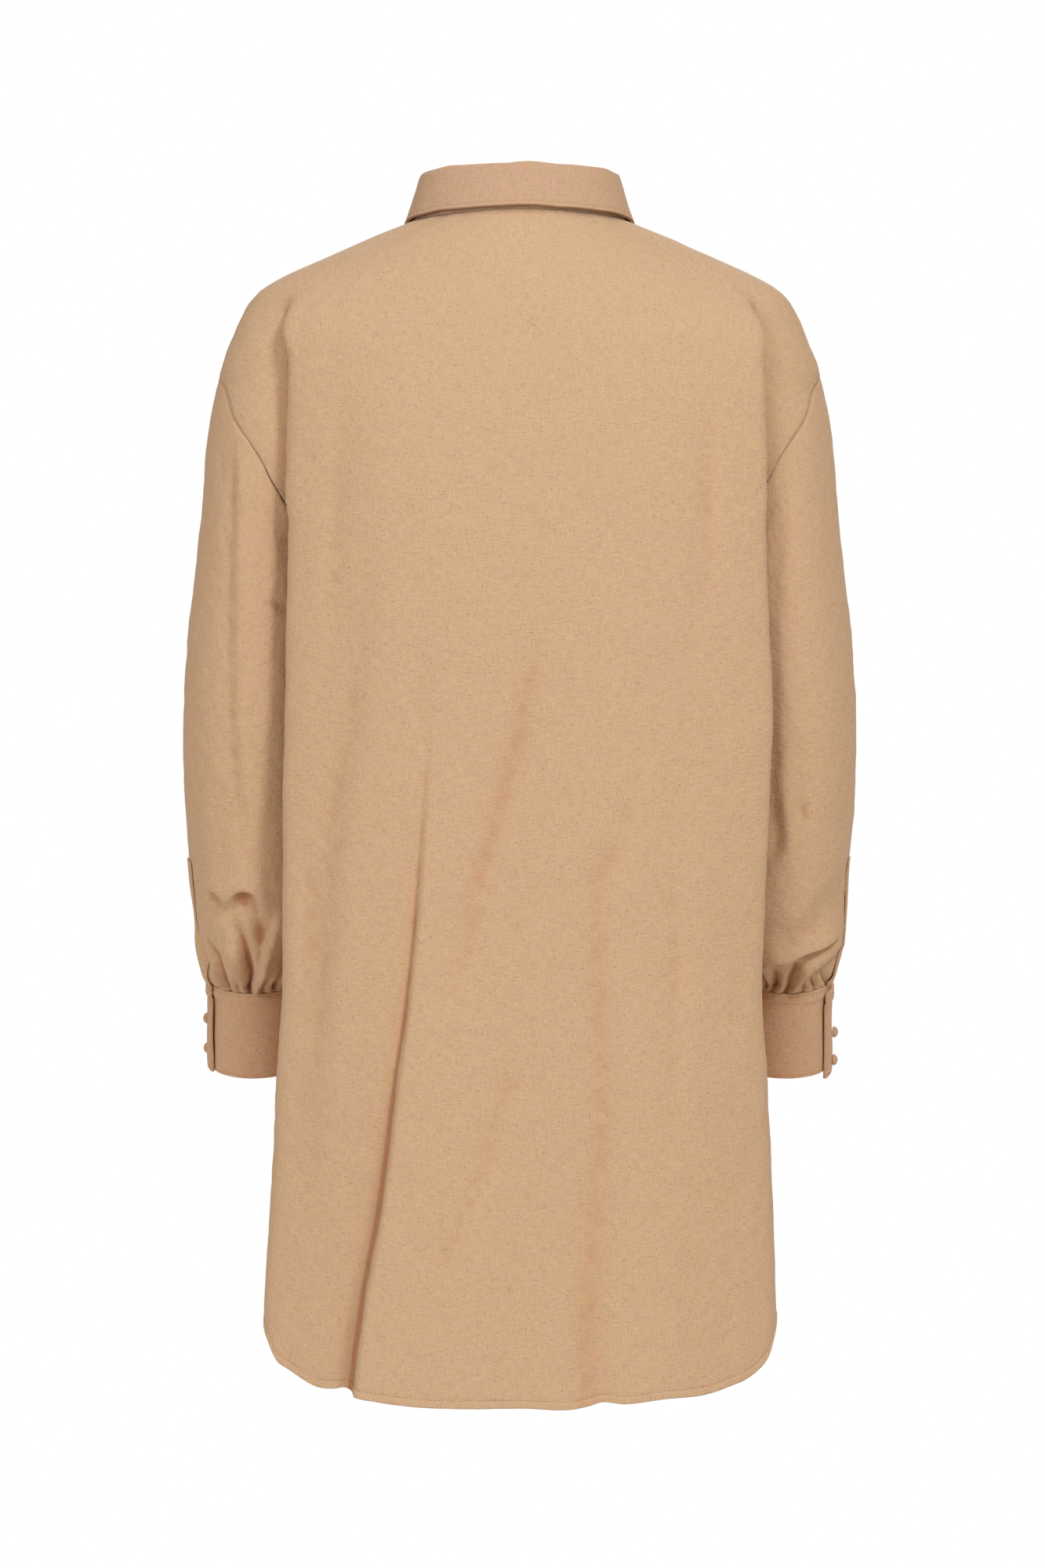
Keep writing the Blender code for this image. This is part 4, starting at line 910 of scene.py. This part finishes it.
GATHERS = table("turn lean start wide deep", (
    (122, -3, 548, 4.6, 3.4), (136, 2, 562, 3.8, 2.6), (147, -2, 540, 5.0, 3.6),
    (163, 3, 556, 4.2, 3.0), (174, 0, 566, 3.4, 2.2), (186, -3, 538, 5.0, 3.8),
    (201, 2, 558, 4.0, 2.8), (213, 4, 545, 4.8, 3.4), (229, -2, 562, 3.8, 2.6),
    (240, -4, 536, 5.2, 4.0), (256, 2, 554, 4.2, 3.0), (268, 3, 565, 3.4, 2.2),
    (281, -3, 538, 5.0, 3.8), (297, 2, 556, 4.2, 3.0), (309, 4, 544, 4.8, 3.6),
    (324, -2, 562, 3.8, 2.6), (336, -3, 548, 4.6, 3.2), (351, 2, 570, 3.6, 2.0)))

sleeve_cloth = linen("slubbed linen and viscose, sleeves", "DAB68A", "DBB18F", "B98F67")


def sleeve_relief(side, turn, down):
    """How far the sleeve stands out at a place, and how far its billows sag there."""
    degrees = np.degrees(turn)
    behind = (degrees + 20) % 360 - 20
    before = (degrees + 180) % 360 - 180
    soft = sum(crease(behind, down, path, LONG_EDGE) for path in LONG_STEPS[side])
    soft = soft + sum(crease(behind, down, path) for path in SLEEVE_SOFT[side])
    soft = soft + sum(crease(before, down, path) for path in HIDDEN_SOFT)
    billow = sum(crease(behind, down, path, BILLOW_EDGE, 2.0) for path in BILLOWS[side])
    billow = billow + sum(crease(before, down, path, BILLOW_EDGE, 2.0) for path in HIDDEN_BILLOWS)
    for row in rows_of(GATHERS):
        f = (down - row["start"]) / (CUFF_TOP - row["start"])
        off = (degrees - row["turn"] - row["lean"] * (1 - f) * 2 + 180) % 360 - 180
        depth = row["deep"] * ease(0, 0.75, f) * (1 - 0.6 * ease(0.9, 1.0, f))
        wide = row["wide"] * (1.5 - 0.5 * np.clip(f, 0, 1))
        soft = soft - depth * np.exp(-(off / wide) ** 2)
    fade = 1 - 0.5 * ease(584, 591, down)
    billow = billow * BILLOW_BIG
    soft = soft * (1 + (GATHER_BIG - 1) * ease(515, 560, down))
    sag = 1.1 * np.maximum(billow, 0)
    return (soft + billow) * fade, sag * fade


def sleeve_place(side, turn, down, relief=None):
    """A point of the sleeve: turn 0 outer, 90 back, 180 inner, 270 front."""
    x, y = arm_oval(side, turn, down)
    middle_y = along(ARM, "y", down)
    push, sag = (0 * x, 0 * x) if relief is None else relief
    push = push * ease(150, 210, down)
    inner = ease(110, 150, np.abs((np.degrees(turn) + 180) % 360 - 180))
    push = np.where(push > 0, push * (1 - inner * (1 - ease(500, 560, down))), push)
    x = x + side * push * np.cos(turn)
    y = y - push * np.sin(turn)
    lean = math.tan(CUFF_LEAN) * ease(380, 590, down)
    return np.stack([x, y, -down - sag + lean * (y - middle_y)], -1)


def seam_at(side, u, share):
    """The armhole seam behind where u is over a half, and before where it is under."""
    both = [body_place(side, face, *panel_level(face, side, 1 + share, 2.0 + 0 * share)[::-1])
            for face in (-1, 1)]
    return np.where((u > 0.5)[:, None], both[0], both[1])


def sleeve_grid(side, u, v):
    """The sleeve by u, round from the underarm, and v, down from the seam."""
    u = np.where(u > 0.9999, 0, u)
    share = np.abs(2 * u - 1)
    seam = seam_at(side, u, share)
    seam_turn = np.radians(along(ARMHOLE, "turn", share))
    face = np.where(u > 0.5, 1, -1)
    top = -seam[:, 2]
    down = top + (CUFF_TOP - PIECE_GAP / 2 - top) * v
    settled = ease(top, top + TURN_FIT, down)
    turn = face * seam_turn * (1 - settled) + face * math.pi * share * settled
    points = sleeve_place(side, turn, down, sleeve_relief(side, turn, down))
    start = sleeve_place(side, face * seam_turn, top)
    fit = (1 - ease(0, SEAM_FIT, down - top))[:, None]
    points = points + (seam - start) * fit
    away = np.stack([side * np.cos(seam_turn), -face * np.sin(seam_turn), 0 * share], -1)
    folded = ease(0.35, 0.75, share)[:, None]
    run = (seam_at(side, u, np.minimum(share + 0.04, 1))
           - seam_at(side, u, np.maximum(share - 0.04, 0)))
    run = run / np.linalg.norm(run, axis=1)[:, None]
    fall = np.array((0, 0, -1.0)) + run[:, 2:] * run
    fall = fall - (fall * away).sum(1)[:, None] * away
    fall = fall / np.linalg.norm(fall, axis=1)[:, None]
    shift = (1 - folded) * fall * 1.5 * PIECE_GAP + folded * (
        np.array((0, 0, -2)) - away * 6) * PIECE_GAP
    below = down - top
    clear = SLEEVE_CLEAR * ease(0, 25, below) * (1 - ease(70, 140, below))
    tuck = (1 - folded) * (1 - ease(0, SLEEVE_TUCK, below))[:, None]
    points = points - tuck * (fall * SLEEVE_TUCK + away * 1.8 * CLOTH)
    return points + shift * fit - away * folded * clear[:, None]


def row_spread(v):
    """Rows crowd together towards the gathers."""
    return v * (1.7 - 0.7 * v)


for side, word in SIDES:
    lay_cloth(
        "sleeve_%s_cloth" % word, SLEEVE_COLUMNS, SLEEVE_ROWS,
        lambda u, v: sleeve_grid(side, u, row_spread(v)), CLOTH, sleeve_cloth,
        "sleeve_" + word, centre=0.5, level=0.0, flip=side > 0, tube=True, ripple=41 + side)

# Slit bindings
# The edge of each sleeve's slit is bound with a straight folded strip of the same cloth, sewn
# on with its raw edges turned in.
STRIP = 1.2
SLIT_TOP = 0.63          # where the strip starts and ends, as shares of the sleeve's rows
SLIT_END = 0.995

# Where the strip's two edges lie round the arm in degrees, by share of its length
STRIP_EDGES = {-1: table("share outer inner", ((0, 6, 20), (0.4, 8, 22), (1, 16, 30))),
               1: table("share outer inner", ((0, 2, 16), (0.5, 4, 18), (1, 11, 26)))}


def binding_shape_on(side):
    """The strip's outer face, set off the sleeve along its own slope."""
    def shape(u, v):
        outer, inner = (along(STRIP_EDGES[side], name, v) for name in ("outer", "inner"))
        across = 0.5 + (outer + (inner - outer) * u) / 360
        rows = SLIT_TOP + (SLIT_END - SLIT_TOP) * v
        points = sleeve_grid(side, across, row_spread(rows))
        step = 0.002
        right = sleeve_grid(side, across + step, row_spread(rows)) - points
        below = sleeve_grid(side, across, row_spread(rows + step)) - points
        normal = np.cross(right, below) * side
        normal = normal / np.linalg.norm(normal, axis=1)[:, None]
        stand = PIECE_GAP + STRIP + 1.4 * ease(0.72, 1.0, v)
        return points + normal * stand[:, None]

    return shape


for side, word in SIDES:
    binding = lay_cloth("slit_binding_%s_cloth" % word, 14, 40, binding_shape_on(side), STRIP,
                        sleeve_cloth, "slit_binding_" + word, flip=side > 0, round_edge=0.4)

# Cuffs
# Two deep cuffs, each one doubled and interlined band that takes the gathers between its
# layers, laps to the outside and is edge-stitched all round.
CUFF_DEEP = 68.0
CUFF_WIDE = 34.0
CUFF_THICK = 38.5
CUFF_UNDERLAP = math.radians(-26.0)
CUFF_END = {-1: math.radians(387.0), 1: math.radians(393.0)}
CUFF_LIFT = BAND + 0.7   # the top layer of the lap stands this far out
CUFF_DROOP = {-1: 0.5, 1: 5.0}  # the lap's end hangs this much lower
CUFF_ALLOWANCE = 9.0     # the turned-in seam shows through down to here
CUFF_ROUND = 262         # from one end of the band to the other

cuff_cloth = linen("slubbed linen and viscose, interlined cuff", "DBB387", "DDAD8E", "B88C67", 0.8)


def cuff_place(side, turn, below, out=0.0):
    """A point of the cuff: turn as on the sleeve, below is measured along the forearm."""
    layer = CUFF_LIFT * ease(math.radians(285), math.radians(330), turn)
    below = below + CUFF_DROOP[side] * ease(math.radians(300), CUFF_END[side], turn)
    wide, thick = CUFF_WIDE + layer + out, CUFF_THICK + layer + out
    x = (along(REACH, "outer", CUFF_TOP) - CUFF_WIDE) + wide * np.cos(turn)
    across = -thick * np.sin(turn)
    y = along(ARM, "y", CUFF_TOP) + across * math.cos(CUFF_LEAN) + below * math.sin(CUFF_LEAN)
    z = -CUFF_TOP + across * math.sin(CUFF_LEAN) - below * math.cos(CUFF_LEAN)
    return np.stack([side * x, y, z], -1)


def cuff_turn(side, u):
    return CUFF_UNDERLAP + (CUFF_END[side] - CUFF_UNDERLAP) * u


def cuff_relief(u, v):
    """The turned-in seam's ridge, the stitched groove all round and slow waves between."""
    below = CUFF_DEEP * v
    away = np.minimum(np.minimum(below, CUFF_DEEP - below), np.minimum(u, 1 - u) * CUFF_ROUND)
    groove = -0.35 * np.exp(-((away - EDGE_STITCH) / 0.8) ** 2)
    uneven = below + 1.2 * np.sin(24 * u)
    band = 0.9 * (1 - ease(CUFF_ALLOWANCE - 2.5, CUFF_ALLOWANCE, uneven))
    band = band + 0.5 * np.exp(-((uneven - CUFF_ALLOWANCE + 2.5) / 1.6) ** 2)
    wave = 0.5 * np.sin(17 * u + 2.0 + 1.5 * v) + 0.35 * np.sin(31 * u + 4 * v)
    return groove + band + wave * np.sin(np.pi * v) ** 0.5


edge_share = EDGE_STITCH / CUFF_DEEP
cuff_line = ([(u, edge_share) for u in np.linspace(0.01, 0.99, 120)]
             + [(0.99, v) for v in np.linspace(edge_share, 1 - edge_share, 20)]
             + [(u, 1 - edge_share) for u in np.linspace(0.99, 0.01, 120)])
for side, word in SIDES:
    def cuff_shape(u, v):
        return cuff_place(side, cuff_turn(side, u), PIECE_GAP / 2 + CUFF_DEEP * v)

    cuff = lay_cloth("cuff_%s_cloth" % word, 170, 44, cuff_shape, BAND, cuff_cloth,
                     "cuff_" + word, flip=side > 0, ripple=51 + side, ripple_share=0.5,
                     edge=cuff_relief, round_edge=0.8)
    cuff_stitches = sew("cuff_%s_stitches" % word, "cuff_%s_cloth" % word,
                        cuff_shape(*np.array(cuff_line).T), thread, pitch=2.6)

# Buttons
# Half balls of metal covered in the same cloth, which is drawn together under the foot. Two
# close each cuff, seven the front and one the collar band.
BUTTON_WIDE = 4.4
BUTTON_HIGH = 4.2
# Cuff buttons: below the cuff seam, and round the arm in degrees
CUFF_BUTTONS = {-1: ((33.5, 347), (57.5, 347)), 1: ((36.0, 369), (58.5, 369))}
FRONT_BUTTONS = 7
FRONT_BUTTON_FIRST = 118.0
FRONT_BUTTON_STEP = 108.0
FRONT_LOW = 868.0        # the fronts end this far down at the centre
COVER_PLEATS = 14
# Outline of the dome from its crown to its foot: share of the half width, share of the height
DOME = ((0, 1.0), (0.2, 0.985), (0.4, 0.93), (0.6, 0.83), (0.77, 0.69), (0.9, 0.51),
        (0.98, 0.33), (1.0, 0.2), (0.95, 0.08), (0.84, 0.01), (0.6, 0.0), (0, 0.0))

button_cloth = linen("slubbed linen and viscose, drawn over a metal dome",
                     "D5AE82", "D7A88A", "B28762", 0.5)


def add_button(name, seat, axis):
    """A covered dome on its seat, with the small pleats of its cover round the foot."""
    bm = bmesh.new()
    verts = [bm.verts.new((x * BUTTON_WIDE * MM, 0, z * BUTTON_HIGH * MM)) for x, z in DOME]
    edges = [bm.edges.new(pair) for pair in zip(verts, verts[1:])]
    bmesh.ops.spin(bm, geom=verts + edges, axis=(0, 0, 1), cent=(0, 0, 0), steps=40,
                   angle=2 * math.pi, use_merge=True)
    bmesh.ops.remove_doubles(bm, verts=bm.verts, dist=0.00001)
    bmesh.ops.recalc_face_normals(bm, faces=bm.faces)
    uv = bm.loops.layers.uv.new("cloth")
    for face in bm.faces:
        for loop in face.loops:
            loop[uv].uv = (loop.vert.co.x * 1.2, loop.vert.co.y * 1.2)
    for vert in bm.verts:
        angle = math.atan2(vert.co.y, vert.co.x)
        high = vert.co.z / (BUTTON_HIGH * MM)
        pleat = 0.035 * math.cos(COVER_PLEATS * angle) * max(0.0, 1 - high / 0.45)
        vert.co.x *= 1 - abs(pleat)
        vert.co.y *= 1 - abs(pleat)
    turned = Vector((0, 0, 1)).rotation_difference(Vector(axis).normalized()).to_matrix()
    seated = Matrix.Translation(Vector(seat) * MM) @ turned.to_4x4()
    bmesh.ops.transform(bm, matrix=seated, verts=bm.verts)
    dome = finished(name + "_cover", bm, button_cloth)
    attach(dome, "root")
    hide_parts(name)


def height_down(height):
    """The panel's level whose centre-front point lies this far down."""
    levels = np.linspace(NECK_SIDE_DOWN, FRONT_LOW, 3000)
    return float(np.interp(height, -body_place(1, 1, 0 * levels, levels)[:, 2], levels))


for side, word in SIDES:
    for number, (below, degrees) in enumerate(CUFF_BUTTONS[side], 1):
        turn = math.radians(degrees)
        add_button("cuff_button_%s_%d" % (word, number), cuff_place(side, turn, below, PIECE_GAP),
                   (side * math.cos(turn), -math.sin(turn), 0))
front_lift = (CLOTH + PIECE_GAP) / 2 + PIECE_GAP
for number in range(FRONT_BUTTONS):
    level = height_down(FRONT_BUTTON_FIRST + number * FRONT_BUTTON_STEP)
    here, lower = (body_place(1, 1, 0.0, level + far, front_lift) for far in (0, 4.0))
    add_button("front_button_%d" % (number + 1), here, (0, -(lower - here)[2], (lower - here)[1]))
x, y, z = collar_round(math.pi, (BAND + PIECE_GAP) / 2 - STAND_LEAN * 0.5 + PIECE_GAP + 0.3)
lean = math.atan2(STAND_LEAN, STAND_FRONT)
add_button("collar_button", (x, y, z + PIECE_GAP + STAND_FRONT * 0.5),
           (0, math.cos(lean), math.sin(lean)))

# Stage
# A plain pale floor well below the hem, with a white surround. Three soft disks of light stand
# off to the right, to the left and behind, and the surround itself lights the cloth warmly.
FLOOR_DOWN = 1.3
SURROUND_WARM = (1.0, 0.955, 0.88, 1)
LAMP_COLOUR = (0.95, 1.0, 1.06)

paper = bpy.data.materials.new("matt white paper")
paper.use_nodes = True
paper.node_tree.nodes["Principled BSDF"].inputs["Base Color"].default_value = linear("F7F6F4")
paper.node_tree.nodes["Principled BSDF"].inputs["Roughness"].default_value = 0.95
disk = bmesh.new()
bmesh.ops.create_circle(disk, cap_ends=True, segments=96, radius=1.15)
floor = finished("floor", disk, paper)
floor.location = (0, 0, -FLOOR_DOWN)

world = bpy.data.worlds.new("studio")
bpy.context.scene.world = world
world.use_nodes = True
background = world.node_tree.nodes["Background"]
seen = add_node(world.node_tree, 'ShaderNodeLightPath').outputs["Is Camera Ray"]
bright = add_node(world.node_tree, 'ShaderNodeMapRange', (), {"To Min": 0.47, "To Max": 1.0},
                  {"Value": seen})
tone = add_node(world.node_tree, 'ShaderNodeMix', {"data_type": 'RGBA'},
                {6: SURROUND_WARM, 7: (1, 1, 1, 1)}, {0: seen})
world.node_tree.links.new(tone.outputs[2], background.inputs["Color"])
world.node_tree.links.new(bright.outputs[0], background.inputs["Strength"])
bpy.context.scene.view_settings.view_transform = 'Standard'


def add_light(name, place, aim, size, power):
    data = bpy.data.lights.new(name, 'AREA')
    data.shape = 'DISK'
    data.size = size
    data.energy = power
    data.color = LAMP_COLOUR
    light = bpy.data.objects.new(name, data)
    light.location = place
    light.rotation_euler = (Vector(aim) - Vector(place)).to_track_quat('-Z', 'Y').to_euler()
    bpy.context.scene.collection.objects.link(light)


add_light("key", (1.5, -2.6, 1.9), (0, 0, -0.45), 0.9, 60)
add_light("fill", (-1.9, -2.9, 0.7), (0, 0, -0.5), 2.0, 36)
add_light("behind", (0.3, 2.8, 1.2), (0, 0, -0.4), 1.6, 40)
